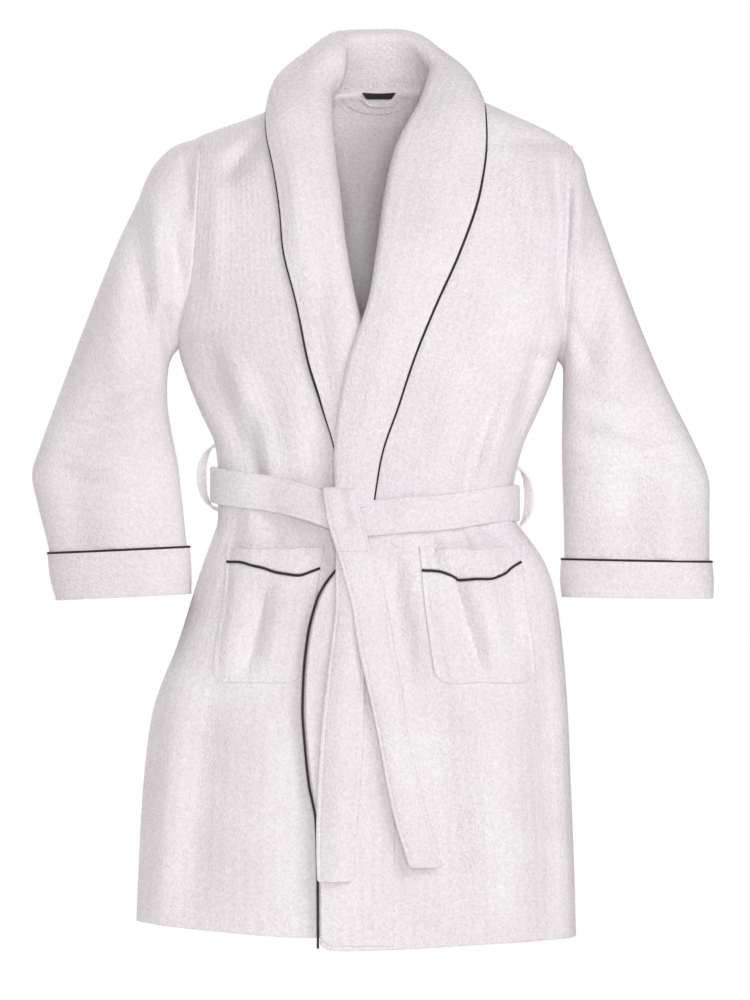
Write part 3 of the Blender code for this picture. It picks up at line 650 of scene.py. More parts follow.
def fine_material(name, colour, gloss, grain, grain_settings, glint_range, bump_settings):
    """A dark woven cloth with a fine grain, whose tone in the colour carries a painted glint on the grain's
    bright threads.
    """
    roughness, sheen = gloss
    look, tree, shader = principled(name, colour, roughness, sheen=sheen)
    place = node(tree, "TexCoord")
    weave = node(tree, grain, grain_settings, {"Vector": place.outputs["Object"]}).outputs["Fac"]
    # The grain scales the colour, brighter on its high threads: a painted glint on the grain.
    painted_glint = node(tree, "MapRange", glint_range, {"Value": weave})
    base = node(tree, "VectorMath", {"operation": "SCALE", 0: colour}, {"Scale": painted_glint.outputs[0]})
    bump = node(tree, "Bump", bump_settings, {"Height": weave})
    dress(tree, shader, base, bump)
    return look


def piping_material(colours):
    """Cord covered in bias-cut cotton: dark and matt, with a fine twill whose bright flecks are a painted
    glint.
    """
    # How far the twill's grain scales the colour: a painted glint on its bright threads.
    painted_glint = {"From Min": 0.35, "From Max": 0.7, "To Min": 0.75, "To Max": 1.5}
    return fine_material(
        "bias_cotton_piping", tuple(colours.piping), (0.7, 0.08), "TexNoise",
        {"Scale": 700.0, "Detail": 2.0}, painted_glint, {"Strength": 0.4, "Distance": 0.0004},
    )


def label_material(colours):
    """Damask-woven polyester: near black, with a dull satin glint across its fine rows."""
    # The rows scale the colour from 0.7 to 1.8 times: a painted satin glint across them.
    rows = {"bands_direction": "Z", "Scale": 320.0, "Distortion": 1.5}
    return fine_material(
        "woven_damask_label", tuple(colours.label), (0.5, 0.1), "TexWave",
        rows, {"To Min": 0.7, "To Max": 1.8}, {"Strength": 0.5, "Distance": 0.0003},
    )


def looks():
    """The robe's materials, made once."""
    if "cotton_terry" not in bpy.data.materials:
        colours = bpy.context.scene.robe_colours
        terry_material("cotton_terry", tuple(colours.terry_shade), tuple(colours.terry_light), 1.0)
        terry_material("cotton_terry_plain", tuple(colours.terry_shade), tuple(colours.terry_light), 0.0)
        piping_material(colours)
        label_material(colours)
    return bpy.data.materials


# ---------------------------------------------------------------- back and fronts
def hem_stitch(z, foot):
    """The hollow that the hem's stitching presses into the cloth."""
    pressed = -0.0013 * np.exp(-(((z - foot - HEM_HIGH) / 0.0022) ** 2))
    return pressed + 0.0006 * smooth((HEM_HIGH - z + foot) / 0.004)


def lay_back_panel(sizes):
    def place(u, v):
        side = np.sin((u - 0.5) * math.pi)
        right, left = sides(0.0)
        x_top = (right + left) / 2 + side * (left - right) / 2
        x_foot = keyed(side, ((-1, -0.301), (0, -0.016), (1, 0.269)))
        foot = keyed(x_foot, HEM_BACK)
        z = foot + v * (shoulder(x_top) - foot)
        right, left = sides(z)
        x = (right + left) / 2 + side * (left - right) / 2
        return np.stack([x, back(x, z, hem_stitch(z, foot)), z], -1)

    vs = spread(120, (HEM_SHARE, 0.006), (0.0, 0.01))
    piece = cloth("back_cloth", place, spread(60), vs, sizes.terry)
    return finish_piece(piece, "robe", ["back_panel"], "cotton_terry")


def inner_left(z):
    """The left front's inner edge: under the roll of its lapel, and its free edge below the belt."""
    rolls = [(p[0][1], p[0][0] + 0.01) for p in LAPEL_LEFT[:-1]]
    return keyed(z, [(0.012, NECK_X + NECK_HALF)] + rolls + list(FREE_LEFT))


def inner_right(z):
    rolls = [(p[0][1], p[0][0] - 0.01) for p in LAPEL_RIGHT[3:]]
    return keyed(z, [(0.01, NECK_X - NECK_HALF)] + rolls + list(FREE_RIGHT[1:]))


def lay_front(sizes, side):
    """A whole front, from its inner edge to the side seam."""
    outer = 1 if side == "left" else 0
    inner = inner_left if outer else inner_right
    hem = HEM_FRONT_LEFT if outer else HEM_FRONT_RIGHT

    def place(u, v):
        end = sides(0.0)[outer]
        start = NECK_X + NECK_HALF * (1 if outer else -1)
        share = np.sin(u * math.pi / 2) ** 1.15
        z_top = shoulder(start + (end - start) * share)
        for _ in range(6):
            z_top = shoulder(inner(z_top) + (sides(z_top)[outer] - inner(z_top)) * share)
        x_foot = inner(-1.1) + (sides(-1.1)[outer] - inner(-1.1)) * share
        foot = keyed(x_foot, hem)
        z = foot + v * (z_top - foot)
        x = inner(z) + (sides(z)[outer] - inner(z)) * share
        step = over(z) if outer else np.zeros_like(z)
        return np.stack([x, front(x, z, step + hem_stitch(z, foot)), z], -1)

    vs = spread(130, (HEM_SHARE, 0.006), (0.0, 0.01))
    piece = cloth(f"front_cloth_{side}", place, spread(40, (0.0, 0.03)), vs, sizes.terry)
    body = blend_overlap() if outer else "robe"
    nodes = ["front_panel_left", "front_skirt_left"] if outer else ["front_panel_right"]
    return finish_piece(piece, body, nodes, "cotton_terry")


def lay_band(sizes, side):
    """The turned-back band along a free edge: its inner side shows as a sewn line."""
    left = side == "left"
    free = FREE_LEFT if left else FREE_RIGHT
    top, foot = (-0.345, -1.0925) if left else (-0.56, -1.079)

    def place(u, v):
        z = foot + v * (top - foot)
        z = z + 0.012 * smooth((0.1 - u) / 0.1) * smooth((0.02 - v) / 0.02)
        start = inner_left(z) + 0.0015 if left else keyed(z, free) - 0.07
        end = keyed(z, BAND_LEFT) if left else keyed(z, free) - 0.0015
        x = start + u * (end - start)
        return np.stack([x, front(x, z, (over(z) if left else 0.0) + BAND_STEP), z], -1)

    us = spread(12, (1.0, 0.06), (0.0, 0.06))
    piece = cloth(f"band_cloth_{side}", place, us, spread(90, (0.0, 0.01)), 0.0025)
    body = blend_overlap() if left else "robe"
    return finish_piece(
        piece, body, [f"front_band_{side}"], "cotton_terry"
    )


def lay_front_piping(sizes, side):
    left = side == "left"
    on_left, on_right = (FREE_LEFT, -0.56, -1.0955, -0.0022), (FREE_RIGHT, -0.575, -1.08, 0.0022)
    free, top, foot, out = on_left if left else on_right
    z = np.linspace(top, foot, 120)
    x = keyed(z, free) + out
    y = front(x, z, OVER + 0.0022 if left else 0.0)
    piece = tube(f"edge_piping_{side}", np.stack([x, y, z], 1), sizes.piping)
    body = blend_overlap() if left else "robe"
    return finish_piece(piece, body, [f"front_piping_{side}"], "bias_cotton_piping")


# ---------------------------------------------------------------- collar
def collar_keys():
    """Roll, outer edge, inner edge and roll radius at each station, from the right belt end to the left."""

    def on_front(pairs, left):
        rows = []
        for roll, edge in pairs:
            step = LAPEL_STEP + (float(over(roll[1])) if left else 0.0)
            r = (roll[0], float(front(roll[0], roll[1], step)) - 0.004, roll[1])
            e = (edge[0], float(front(edge[0], edge[1], step)), edge[1])
            toward = 0.022 if left else -0.022
            i = (roll[0] + toward, float(front(roll[0] + toward, roll[1], step)) + 0.014, roll[1] + 0.004)
            rows.append((r, e, i))
        return rows

    neck = []
    for r, e, i in (*NECK_RIGHT, NECK_BACK, *NECK_LEFT):
        if i[1] > 0.02:
            i = (i[0], float(back(i[0], i[2])) + 0.0015, i[2])
        neck.append((r, e, i))
    rows = on_front(LAPEL_RIGHT, False) + neck + on_front(LAPEL_LEFT, True)
    soft = [0.007, 0.008, 0.01, 0.013, 0.016, 0.019, 0.022, 0.024, 0.026]
    around = [0.027, 0.03, 0.03, 0.024, 0.016, 0.012] + [0.011, 0.012, 0.012, 0.012, 0.012]
    radius = soft + around + list(ROLL_RADIUS[::-1])
    roll, edge, inner = (np.array([row[k] for row in rows]) for k in range(3))
    return roll, edge, inner, np.array(radius)[:, None]


def clear_of_body(points, step):
    """Moves points out of the body, so that they stand step off its cloth."""
    x, y, z = points[..., 0], points[..., 1], points[..., 2]
    below = smooth((shoulder(x) - 0.004 - z) / 0.012)
    level = np.minimum(z, shoulder(x) - 0.001)
    limit_front = front(x, level, step)
    limit_back = back(x, level, step)
    pushed = np.where(y > 0.0, np.maximum(y, limit_back), np.minimum(y, limit_front))
    return np.stack([x, y + (pushed - y) * below, z], -1)


def collar_surface(w, s):
    """A point of the shawl collar: s runs from the right belt end to the left, w from the outer edge over
    the roll to the inner edge."""
    roll_keys, edge_keys, inner_keys, radius_keys = COLLAR
    roll, edge, inner = path(roll_keys, s), path(edge_keys, s), path(inner_keys, s)
    r = path(radius_keys, s)
    along = unit(path(roll_keys, s + 0.004) - path(roll_keys, s - 0.004))
    leaf = edge - roll
    leaf = unit(leaf - along * (leaf * along).sum(-1, keepdims=True))
    out = unit(np.cross(along, leaf))
    low = np.clip(1 - w / LEAF_END, 0, 1)[..., None]
    round_neck = smooth((0.3 - np.abs(s - 0.5)) / 0.12)[..., None]
    bow = (0.005 + 0.01 * round_neck) * np.sin(np.pi * low) ** 0.8
    fan = roll + (edge - roll) * low + out * bow
    left = (s > 0.5) * 1.0
    step = LAPEL_STEP + over(fan[..., 2]) * left
    fan = clear_of_body(fan, step)
    wave = folds(fan[..., 0], fan[..., 2], FOLDS_COLLAR) * (fan[..., 1] < 0.02)
    fan = fan + out * (wave * (1 - low[..., 0] ** 4) * np.minimum(1, (low[..., 0] + 0.35)))[..., None]
    start = clear_of_body(roll, LAPEL_STEP + over(roll[..., 2]) * left)
    start_wave = folds(start[..., 0], start[..., 2], FOLDS_COLLAR) * (start[..., 1] < 0.02) * 0.35
    start = start + out * start_wave[..., None]
    turn = np.clip((w - LEAF_END) / (ROLL_END - LEAF_END), 0, 1)[..., None] * np.pi
    arc = start - out * r * (1 - np.cos(turn)) - leaf * r * np.sin(turn)
    under = np.clip((w - ROLL_END) / (1 - ROLL_END), 0, 1)[..., None]
    tail = start - out * 2 * r
    tail = tail + (inner - tail) * under
    where = w[..., None]
    return np.where(where <= LEAF_END, fan, np.where(where <= ROLL_END, arc, tail))


def lay_collar(sizes):
    leaf, roll = np.linspace(0, LEAF_END, 17), np.linspace(LEAF_END, ROLL_END, 11)
    ws = np.concatenate([leaf, roll[1:], np.linspace(ROLL_END, 1.0, 8)[1:]])
    stations = even(COLLAR[0] * 0.5 + COLLAR[1] * 0.5, 230)
    laid = collar_surface(*np.meshgrid(ws, stations, indexing="ij"))
    for _ in range(6):
        mid = laid.copy()
        mid[1:-1, 1:-1] = (laid[2:, 1:-1] + laid[:-2, 1:-1] + laid[1:-1, 2:] + laid[1:-1, :-2]) / 4
        laid = laid + (mid - laid) * 0.5
    piece = cloth("shawl_collar", lambda u, v: laid, ws, stations, sizes.collar)
    nodes = ["collar_left", "collar_right", "collar_stand"]
    finish_piece(piece, "robe", nodes, "cotton_terry")
    return laid


def lay_collar_piping(sizes, laid):
    edge, inside = laid[0], laid[1]
    out = unit(edge - inside)
    line = edge + out * (sizes.piping * 0.9)
    middle = len(line) // 2
    sunk = edge - out * 0.0012
    for side, run, radius in (("right", sunk[: middle + 1], 0.003), ("left", line[middle:], sizes.piping)):
        piece = tube(f"collar_edge_piping_{side}", run, radius)
        finish_piece(piece, "robe", [f"collar_piping_{side}"], "bias_cotton_piping")


# ---------------------------------------------------------------- sleeves and cuffs
def sleeve_surface(ribs, v, turn, grow=0.0):
    rib = path(ribs, v)
    outer, inner = rib[..., 0:2], rib[..., 2:4]
    middle, half = (outer + inner) / 2, (outer - inner) / 2
    length = np.linalg.norm(half, axis=-1, keepdims=True)
    angle = turn * 2 * math.pi
    c, s = np.cos(angle), np.sin(angle)
    power = 2 / (2.0 + 0.35 * smooth(v * 3))
    across = np.sign(c) * np.abs(c) ** power
    deep = np.sign(s) * np.abs(s) ** power
    spot = middle + half * (1 + grow / length) * across[..., None]
    return np.stack([spot[..., 0], (rib[..., 4] + grow) * deep, spot[..., 1]], -1)


def lay_sleeve(sizes, side):
    left = side == "left"
    ribs, ridges = (RIBS_LEFT, FOLDS_LEFT_SLEEVE) if left else (RIBS_RIGHT, FOLDS_RIGHT_SLEEVE)
    away = 1 if left else -1

    def place(v, turn):
        spot = sleeve_surface(ribs, v, turn)
        x, y, z = spot[..., 0], spot[..., 1], spot[..., 2]
        on_seam = sides(z)[1 if left else 0]
        ring = smooth(1 - v / 0.1)
        x = x + (on_seam - x) * ring * (v < 0.1)
        wave = folds(x, z, ridges) + 0.0009 * rumple(x + y, z, 21 if left else 13, 0.1)
        ends = smooth(v / 0.08) * smooth((1.02 - v) / 0.06)
        facing = np.sign(y) * smooth(np.abs(y) / 0.035)
        groove = 0.0016 * np.exp(-((v / 0.012) ** 2))
        y = y + (wave * ends - groove) * facing
        return np.stack([x, y, z], -1)

    vs = spread(88, (0.0, 0.02))
    piece = cloth(f"sleeve_cloth_{side}", place, vs, np.linspace(0, 1, 81), sizes.terry, ring=True)
    arm = np.array((away * math.cos(math.radians(25)), 0, -math.sin(math.radians(25))))
    body = ("robe", f"{side}_arm", Vector(arm * 0.36), Vector(arm * 0.45))
    return finish_piece(
        piece, body, [f"sleeve_{side}"], "cotton_terry"
    )


def lay_cuff(sizes, side):
    ribs = CUFF_LEFT if side == "left" else CUFF_RIGHT

    def place(v, turn):
        spot = sleeve_surface(ribs, v, turn, 0.001)
        swell_out = 0.0016 * np.sin(np.pi * v) - 0.0004 * np.exp(-(((v - 0.9) / 0.03) ** 2))
        middle = spot.mean(axis=1, keepdims=True)
        return spot + unit(spot - middle) * swell_out[..., None]

    vs = spread(16, (0.0, 0.05), (0.9, 0.05), (1.0, 0.04))
    piece = cloth(f"cuff_cloth_{side}", place, vs, np.linspace(0, 1, 81), 0.0055, ring=True)
    finish_piece(
        piece, f"{side}_arm", [f"cuff_{side}"], "cotton_terry"
    )
    turn = np.linspace(0, 1, 121)[:-1]
    line = sleeve_surface(ribs, np.full_like(turn, 0.015), turn, 0.0035)
    cord = tube(f"cuff_edge_piping_{side}", line, sizes.piping, closed=True)
    finish_piece(cord, f"{side}_arm", [f"cuff_piping_{side}"], "bias_cotton_piping")


# ---------------------------------------------------------------- pockets
def pocket_foot(u):
    """The height of a pocket's foot at this share across: its corners are round."""
    near = np.clip(POCKET_CORNER - np.minimum(u, 1 - u) * POCKET_WIDTH, 0, POCKET_CORNER)
    return POCKET_FOOT + POCKET_CORNER - np.sqrt(POCKET_CORNER**2 - near**2)


def pocket_surface(side, u, v):
    """A point of a pocket: u from its inner to its outer side, v from its foot to its mouth."""
    left = side == "left"
    ins, outs = (POCKET_IN_LEFT, POCKET_OUT_LEFT) if left else (POCKET_IN_RIGHT, POCKET_OUT_RIGHT)
    from_side = np.minimum(u, 1 - u) * POCKET_WIDTH
    foot = pocket_foot(u)
    z = foot + v * (POCKET_TOP - foot - POCKET_DIP * np.sin(np.pi * u))
    x = keyed(z, ins) + u * (keyed(z, outs) - keyed(z, ins))
    gape = 0.009 * np.sin(np.pi * u) ** 1.2 * smooth(v * 1.1 - 0.1)
    soft = 0.003 * rumple(x, z, 5 if left else 9, 0.09) * np.sin(np.pi * u)
    soft = soft * np.sin(np.pi * np.clip(v, 0, 1) * 0.8)
    pin = 0.0014 * np.exp(-((from_side - 0.006) / 0.002) ** 2)
    return standing_off(front, x, z, OVER if left else 0.0, PATCH_STEP + gape + soft - pin)


def pipe_share(side, u):
    """How far up a pocket its piping runs, at this share across."""
    z = keyed(u, PIPE_LEFT if side == "left" else PIPE_RIGHT)
    foot = pocket_foot(u)
    return (z - foot) / (POCKET_TOP - foot - POCKET_DIP * np.sin(np.pi * u))


def lay_pocket(sizes, side):
    us = spread(30, (0.0, 0.05), (1.0, 0.05))
    patch = cloth(
        f"pocket_cloth_{side}",
        lambda u, v: pocket_surface(side, u, v * (pipe_share(side, u) - 0.006)),
        us,
        spread(34, (0.0, 0.06)),
        0.0032,
    )
    finish_piece(
        patch, "robe", [f"pocket_{side}"], "cotton_terry"
    )

    def band_place(u, v):
        low = pipe_share(side, u) + 0.006
        return pocket_surface(side, u, low + v * (1 - low))

    band = cloth(f"pocket_band_cloth_{side}", band_place, us, spread(8, (1.0, 0.1)), 0.0036)
    finish_piece(
        band, "robe", [f"pocket_band_{side}"], "cotton_terry"
    )
    u = np.linspace(0.005, 0.995, 60)
    v = pipe_share(side, u)
    line = pocket_surface(side, u, v)
    line[:, 1] -= 0.0021
    cord = tube(f"pocket_edge_piping_{side}", line, sizes.piping)
    finish_piece(cord, "robe", [f"pocket_piping_{side}"], "bias_cotton_piping")


# ---------------------------------------------------------------- belt
def stitched(share, high, deep, wide):
    """The belt's crown across its width, with the hollows that its two rows of stitching press."""
    rows = [np.exp(-(((share - at) / wide) ** 2)) for at, _ in STITCH_ROWS]
    return high * np.sin(np.pi * share) - deep * (rows[0] + rows[1])


def belt_step(x):
    """How far the belt stands off the fronts: further where it crosses the overlap."""
    return BELT_STEP_RIGHT + (BELT_STEP - BELT_STEP_RIGHT) * smooth((x + 0.13) / 0.06)


def lay_belt(sizes):
    def place(turn, v):
        angle = turn * 2 * math.pi
        c, s = np.cos(angle), np.sin(angle)
        power = 2 / ROUNDNESS
        share_x, share_y = np.sign(c) * np.abs(c) ** power, np.sign(s) * np.abs(s) ** power
        ends = (BELT_FRONT[0], BELT_FRONT[-1])
        level = np.where(s < 0, keyed(0.19 * share_x, BELT_FRONT), keyed(0.19 * share_x, ends))
        level = level + 0.0015 * np.sin(share_x * 9) * smooth(np.abs(s) * 3)
        z = level + (v - 0.5) * BELT_WIDTH
        right, left = sides(np.full_like(z, BELT_LEVEL))
        x = (right + left) / 2 + ((left - right) / 2 + BELT_REACH) * share_x
        crown = stitched(v, 0.0016, 0.0016, 0.03)
        pinch = 0.0012 * np.sin(share_x * 23 + 1) * np.sin(np.pi * v)
        step = np.where(s < 0, belt_step(x), BELT_REACH) + crown + pinch
        deep = np.where(s < 0, keyed(z, DEPTHS, 1), keyed(z, DEPTHS, 2))
        return np.stack([x, (deep + SEAM + step) * share_y, z], -1)

    vs = spread(14, *STITCH_ROWS)
    piece = cloth("belt_cloth", place, np.linspace(0, 1, 221), vs, sizes.belt, ring=True)
    return finish_piece(
        piece, "robe", ["belt_wrap"], "cotton_terry_plain"
    )


def strap_surface(keys, u, z, step):
    """A point of the belt's hanging part at this share across and this height."""
    wider = STRAP_SPREAD * smooth((STRAP_CUT - 0.006 - z) / 0.04)
    start, end = keyed(z, keys, 1) - wider, keyed(z, keys, 2) + wider
    x = start + u * (end - start)
    crown = stitched(u, 0.002, 0.0017, 0.04)
    return np.stack([x, front(x, z, step + crown), z], -1)


def cut_flat(piece, z, keep_above):
    """Cuts a strap off level, so that two parts of it meet without a line."""
    net = bmesh.new()
    net.from_mesh(piece.data)
    around = net.verts[:] + net.edges[:] + net.faces[:]
    cut = bmesh.ops.bisect_plane(
        net, geom=around, plane_co=(0, 0, z), plane_no=(0, 0, 1),
        clear_inner=keep_above, clear_outer=not keep_above,
    )
    rim = [part for part in cut["geom_cut"] if isinstance(part, bmesh.types.BMEdge)]
    bmesh.ops.holes_fill(net, edges=rim, sides=0)
    bmesh.ops.recalc_face_normals(net, faces=net.faces)
    net.to_mesh(piece.data)
    net.free()
    piece.data.set_sharp_from_angle(angle=math.radians(70))


def lay_knot(sizes):
    """The strap that comes from behind the belt, folds over its top and runs down in front."""
    top, foot = -0.5055, -0.6

    def place(u, v):
        bend = 0.3
        out = STRAP_STEP
        angle = np.clip(v / bend, 0, 1) * math.pi
        radius = 0.0075
        z_down = top - radius + (v - bend) / (1 - bend) * (foot - top + radius)
        z = np.where(v < bend, top - radius + radius * np.sin(angle), z_down)
        sink = (1 + np.cos(angle)) * radius
        pinch = 0.0035 * smooth((z + 0.545) / 0.02) * (u - 0.5) * 2
        spot = strap_surface(STRAP, u, z, out)
        spot[..., 0] -= pinch * 0.3
        over_belt = front(spot[..., 0], np.full_like(z, top - radius), out) + sink
        spot[..., 1] = np.where(v < bend, over_belt, spot[..., 1])
        pull = 0.0045 * np.exp(-(((z + 0.548) / 0.012) ** 2)) * np.sin(np.pi * u)
        spot[..., 1] += pull - 0.002 * np.sin(3 * np.pi * u) * smooth((z + 0.57) / 0.03)
        return spot

    piece = cloth("knot_cloth", place, spread(16, *STITCH_ROWS), spread(36), sizes.belt)
    cut_flat(piece, STRAP_CUT, True)
    return finish_piece(
        piece, "robe", ["belt_knot"], "cotton_terry_plain"
    )


def lay_tail(sizes, side):
    left = side == "left"
    keys, top, foot = (STRAP, -0.56, -0.992) if left else (UNDER, -0.56, -1.01)

    def place(u, v):
        slant = 0.0 if left else 0.002
        corner = 0.004 * (smooth((0.06 - np.minimum(u, 1 - u)) / 0.06))
        z = top + v * (foot - top + slant * (u - 0.5)) + corner * smooth((v - 0.97) / 0.03)
        spot = strap_surface(keys, u, z, STRAP_STEP if left else 0.0255)
        loose = smooth((STRAP_CUT - 0.01 - z) / 0.06)
        wave = 0.004 * np.sin(v * 9 + (2 if left else 0)) * (u - 0.5)
        spot[..., 1] -= (wave + 0.0015 * rumple(u * 0.05, z, 31 if left else 37, 0.07)) * loose
        return spot

    vs = spread(84, (0.975, 0.012), (1.0, 0.01))
    piece = cloth(f"tail_cloth_{side}", place, spread(16, *STITCH_ROWS), vs, sizes.belt)
    cut_flat(piece, STRAP_CUT - 0.0002, False)
    at = np.array((np.mean(keys[0][1:]), -0.14, STRAP_CUT))
    body = ("overlap", f"{side}_tail", Vector(at), Vector(at + (0, 0, -0.035)))
    return finish_piece(
        piece, body, [f"belt_tail_{side}"], "cotton_terry_plain"
    )


def lay_loop(sizes, side):
    """A narrow strap on the side seam, through which the belt runs."""
    away = 1 if side == "left" else -1
    foot, middle, half = (0.1865, -0.517, 0.04) if side == "left" else (0.1905, -0.49, 0.042)

    def place(u, v):
        angle = (v - 0.5) * math.pi
        stands = (0.026 if side == "right" else 0.023) * np.cos(angle) ** 0.75
        wide = (u - 0.5) * 0.014
        x = foot + stands - wide * 0.85 * np.cos(angle)
        z = middle + half * np.sin(angle) + wide * 0.3 * np.sin(angle)
        return np.stack([away * x, wide * 0.6 - 0.002, z], -1)

    piece = cloth(f"belt_loop_cloth_{side}", place, np.linspace(0, 1, 5), np.linspace(0, 1, 41), 0.0028)
    return finish_piece(
        piece, "robe", [f"belt_loop_{side}"], "cotton_terry_plain"
    )


# ---------------------------------------------------------------- inside the neck
def inside_back(x, z, off):
    """A point inside the back of the neck, off metres in front of the cloth."""
    return np.stack([x, back(x, np.minimum(z, shoulder(x) - 0.001)) - off, z], -1)


def lay_neck_facing(sizes):
    """The half-moon of cloth inside the back of the neck."""

    def place(u, v):
        x = 0.012 + 0.044 * np.sin((u - 0.5) * math.pi)
        low = -0.022 * np.sqrt(np.clip(1 - ((x - 0.012) / 0.0445) ** 2, 0, 1))
        z = 0.006 + (1 - v) * low
        return inside_back(x, z, 0.0036)

    piece = cloth("neck_half_moon", place, spread(24), spread(8), 0.0018)
    return finish_piece(piece, "robe", [], "cotton_terry_plain")


def lay_hang_loop(sizes):
    t = np.linspace(-1, 1, 41)
    x = 0.0165 + 0.024 * np.sign(t) * np.abs(t) ** 0.9
    z = 0.004 - 0.0095 * (1 - np.abs(t) ** 3.0)
    piece = tube("hanging_loop", inside_back(x, z, 0.0078), 0.0013)
    return finish_piece(piece, "robe", ["hang_loop"], "cotton_terry_plain")


def lay_label(sizes):
    """A plain woven label, blank, cut as a shallow trapezium."""

    def place(u, v):
        half = 0.0165 + 0.0065 * v
        x = 0.014 + (u - 0.5) * 2 * half
        z = 0.0035 + 0.009 * v - 0.0012 * np.cos((u - 0.5) * math.pi) * v
        return inside_back(x, np.minimum(z, 0.0125), 0.0088)

    piece = cloth("woven_label", place, np.linspace(0, 1, 13), np.linspace(0, 1, 5), 0.0009)
    return finish_piece(
        piece, "robe", ["neck_label"], "woven_damask_label"
    )


# ---------------------------------------------------------------- settings, operators and panel
class RobeSizes(bpy.types.PropertyGroup):
    """Sizes of the robe's cloth and cord."""

    terry: bpy.props.FloatProperty(
        name="Terry", description="Thickness of one layer of terry", default=0.0042, min=0.001, unit="LENGTH"
    )
    collar: bpy.props.FloatProperty(
        name="Collar", description="Thickness of the collar's doubled terry",
        default=0.0062, min=0.001, unit="LENGTH",
    )
    belt: bpy.props.FloatProperty(
        name="Belt", description="Thickness of the belt", default=0.0056, min=0.001, unit="LENGTH"
    )
    piping: bpy.props.FloatProperty(
        name="Piping", description="Radius of the piping", default=0.0016, min=0.0005, unit="LENGTH"
    )


class RobeColours(bpy.types.PropertyGroup):
    """Colours of the robe."""

    terry_light: bpy.props.FloatVectorProperty(
        name="Terry", description="The terry's colour where it is palest",
        subtype="COLOR", default=linear("#F3EEF0"),
    )
    terry_shade: bpy.props.FloatVectorProperty(
        name="Terry shade", description="The faint tint in the terry",
        subtype="COLOR", default=linear("#EEE4E9"),
    )
    piping: bpy.props.FloatVectorProperty(
        name="Piping", description="The piping's colour", subtype="COLOR", default=linear("#2A282D")
    )
    label: bpy.props.FloatVectorProperty(
        name="Label", description="The woven label's colour", subtype="COLOR", default=linear("#2B2A2C")
    )


class StageSettings(bpy.types.PropertyGroup):
    """The plain studio round the robe."""

    distance: bpy.props.FloatProperty(
        name="Camera distance", description="From the robe to the camera",
        default=10.0, min=1.0, unit="LENGTH",
    )
    tall: bpy.props.FloatProperty(
        name="View height", description="Height of the view at the robe", default=1.3, min=0.1, unit="LENGTH"
    )
    floor: bpy.props.FloatProperty(
        name="Floor", description="Height of the floor", default=-1.45, unit="LENGTH"
    )
    air: bpy.props.FloatProperty(
        name="Surroundings", description="How brightly the surroundings light the robe",
        default=0.29, min=0.0, max=1.0,
    )
    key: bpy.props.FloatProperty(
        name="Key light", description="Power of the main soft light", default=39.5, min=0.0, unit="POWER"
    )


class ROBE_OT_lay_body(bpy.types.Operator):
    """Lay the back, the two fronts, their bands and the piping of their free edges"""

    bl_idname = "robe.lay_body"
    bl_label = "Lay back and fronts"

    def execute(self, context):
        sizes = context.scene.robe_sizes
        lay_back_panel(sizes)
        for side in ("left", "right"):
            lay_front(sizes, side)
            lay_band(sizes, side)
            lay_front_piping(sizes, side)
        return {"FINISHED"}


class ROBE_OT_lay_collar(bpy.types.Operator):
    """Lay the shawl collar and its piping"""

    bl_idname = "robe.lay_collar"
    bl_label = "Lay collar"

    def execute(self, context):
        laid = lay_collar(context.scene.robe_sizes)
        lay_collar_piping(context.scene.robe_sizes, laid)
        return {"FINISHED"}


class ROBE_OT_lay_sleeves(bpy.types.Operator):
    """Lay the sleeves, the turned-back cuffs and their piping"""

    bl_idname = "robe.lay_sleeves"
    bl_label = "Lay sleeves and cuffs"

    def execute(self, context):
        for side in ("left", "right"):
            lay_sleeve(context.scene.robe_sizes, side)
            lay_cuff(context.scene.robe_sizes, side)
        return {"FINISHED"}


class ROBE_OT_lay_pockets(bpy.types.Operator):
    """Lay the patch pockets, their bands and their piping"""

    bl_idname = "robe.lay_pockets"
    bl_label = "Lay pockets"

    def execute(self, context):
        for side in ("left", "right"):
            lay_pocket(context.scene.robe_sizes, side)
        return {"FINISHED"}


class ROBE_OT_tie_belt(bpy.types.Operator):
    """Tie the belt: its wrap, the knot's strap, the two free ends and the loops it runs through"""

    bl_idname = "robe.tie_belt"
    bl_label = "Tie belt"

    def execute(self, context):
        sizes = context.scene.robe_sizes
        lay_belt(sizes)
        lay_knot(sizes)
        for side in ("left", "right"):
            lay_tail(sizes, side)
            lay_loop(sizes, side)
        return {"FINISHED"}


class ROBE_OT_fit_neck(bpy.types.Operator):
    """Sew the half-moon, the hanging loop and the blank label inside the neck"""

    bl_idname = "robe.fit_neck"
    bl_label = "Fit neck"

    def execute(self, context):
        sizes = context.scene.robe_sizes
        lay_neck_facing(sizes)
        lay_hang_loop(sizes)
        lay_label(sizes)
        return {"FINISHED"}


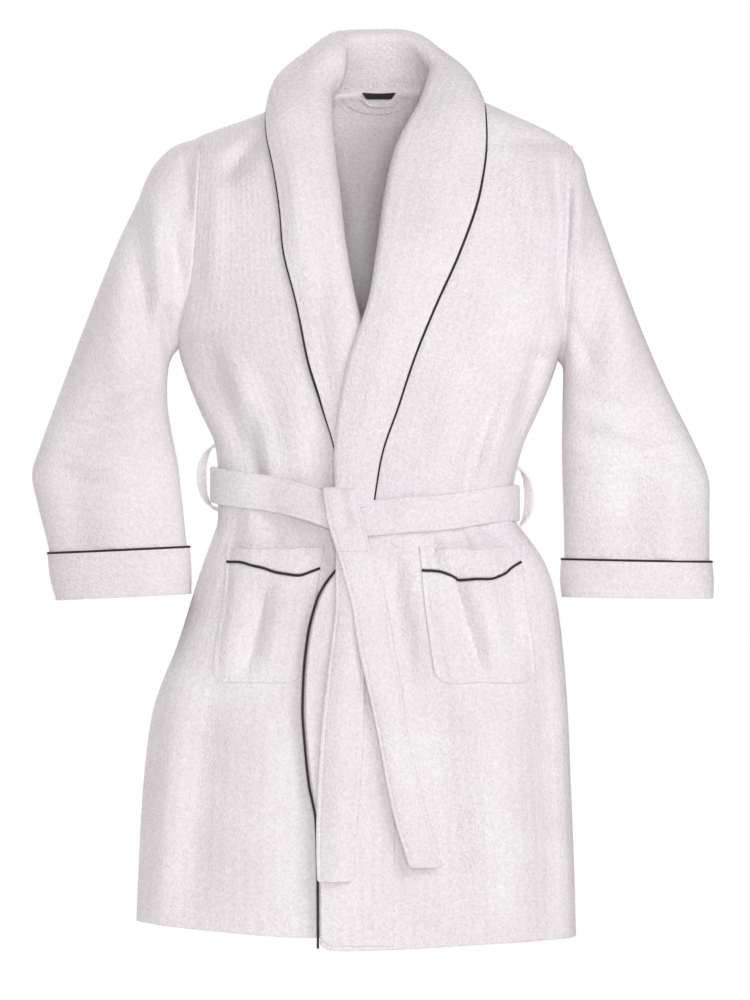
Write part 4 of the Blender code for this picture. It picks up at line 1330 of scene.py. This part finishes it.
class ROBE_OT_set_stage(bpy.types.Operator):
    """Set the pale floor, the soft lights, the pale surroundings and the camera"""

    bl_idname = "robe.set_stage"
    bl_label = "Set stage"

    def execute(self, context):
        stage = context.scene.robe_stage
        scene = context.scene
        bpy.ops.object.select_all(action="DESELECT")
        bpy.ops.mesh.primitive_plane_add(size=3.9, location=(0, 0, stage.floor))
        floor = context.active_object
        floor.name = "studio_floor"
        paper, tree, shader = principled("seamless_paper", linear("#F8F8F8"), 0.9)
        grain = node(tree, "TexNoise", {"Scale": 40.0})
        bump = node(tree, "Bump", {"Strength": 0.05}, {"Height": grain.outputs["Fac"]})
        tree.links.new(bump.outputs[0], shader.inputs["Normal"])
        floor.data.materials.append(paper)
        world = bpy.data.worlds.new("studio_air")
        scene.world = world
        world.use_nodes = True
        air = world.node_tree
        seen = node(air, "LightPath").outputs["Is Camera Ray"]
        shares = {"operation": "MULTIPLY_ADD", 1: 1 - stage.air, 2: stage.air}
        strength = node(air, "Math", shares, {0: seen})
        air.nodes["Background"].inputs["Color"].default_value = (1, 1, 1, 1)
        air.links.new(strength.outputs[0], air.nodes["Background"].inputs["Strength"])
        scene.view_settings.view_transform = "Standard"
        middle = Vector((0.0, 0.0, -0.52))
        for name, place, size, power in (
            ("key", (1.8, -2.5, 0.8), 1.8, stage.key),
            ("fill", (0.3, -10.6, -0.2), 2.6, stage.key * 11.5),
            ("back", (-1.2, 2.6, 2.3), 2.0, stage.key * 2.2),
            ("side", (-3.6, 0.4, 0.4), 1.8, stage.key * 0.7),
        ):
            bpy.ops.object.light_add(type="AREA", location=place)
            lamp = context.active_object
            lamp.name = f"{name}_light"
            lamp.data.size = size
            lamp.data.energy = power
            lamp.rotation_euler = (middle - Vector(place)).to_track_quat("-Z", "Y").to_euler()
        bpy.ops.object.camera_add(location=(0.009, -stage.distance, -0.52), rotation=(math.pi / 2, 0, 0))
        camera = context.active_object
        camera.data.sensor_width = 36
        camera.data.lens = 36 * stage.distance / stage.tall
        camera.data.clip_end = 60
        scene.camera = camera
        return {"FINISHED"}


OPERATORS = (
    ROBE_OT_lay_body,
    ROBE_OT_lay_collar,
    ROBE_OT_lay_sleeves,
    ROBE_OT_lay_pockets,
    ROBE_OT_tie_belt,
    ROBE_OT_fit_neck,
    ROBE_OT_set_stage,
)


class ROBE_PT_panel(bpy.types.Panel):
    """The robe's pieces, in the order they are laid"""

    bl_idname = "ROBE_PT_panel"
    bl_label = "Bathrobe"
    bl_space_type = "VIEW_3D"
    bl_region_type = "UI"
    bl_category = "Bathrobe"

    def draw(self, context):
        for group in (context.scene.robe_sizes, context.scene.robe_colours, context.scene.robe_stage):
            for name in group.bl_rna.properties.keys():
                if name not in ("rna_type", "name"):
                    self.layout.prop(group, name)
        for operator in OPERATORS:
            self.layout.operator(operator.bl_idname)


CLASSES = (RobeSizes, RobeColours, StageSettings, *OPERATORS, ROBE_PT_panel)


def register():
    for made in CLASSES:
        bpy.utils.register_class(made)
    bpy.types.Scene.robe_sizes = bpy.props.PointerProperty(type=RobeSizes)
    bpy.types.Scene.robe_colours = bpy.props.PointerProperty(type=RobeColours)
    bpy.types.Scene.robe_stage = bpy.props.PointerProperty(type=StageSettings)


def unregister():
    del bpy.types.Scene.robe_stage
    del bpy.types.Scene.robe_colours
    del bpy.types.Scene.robe_sizes
    for made in reversed(CLASSES):
        bpy.utils.unregister_class(made)


COLLAR = collar_keys()


def main():
    register()
    for operator in OPERATORS:
        getattr(bpy.ops.robe, operator.bl_idname.split(".")[1])()


if __name__ == "__main__":
    main()
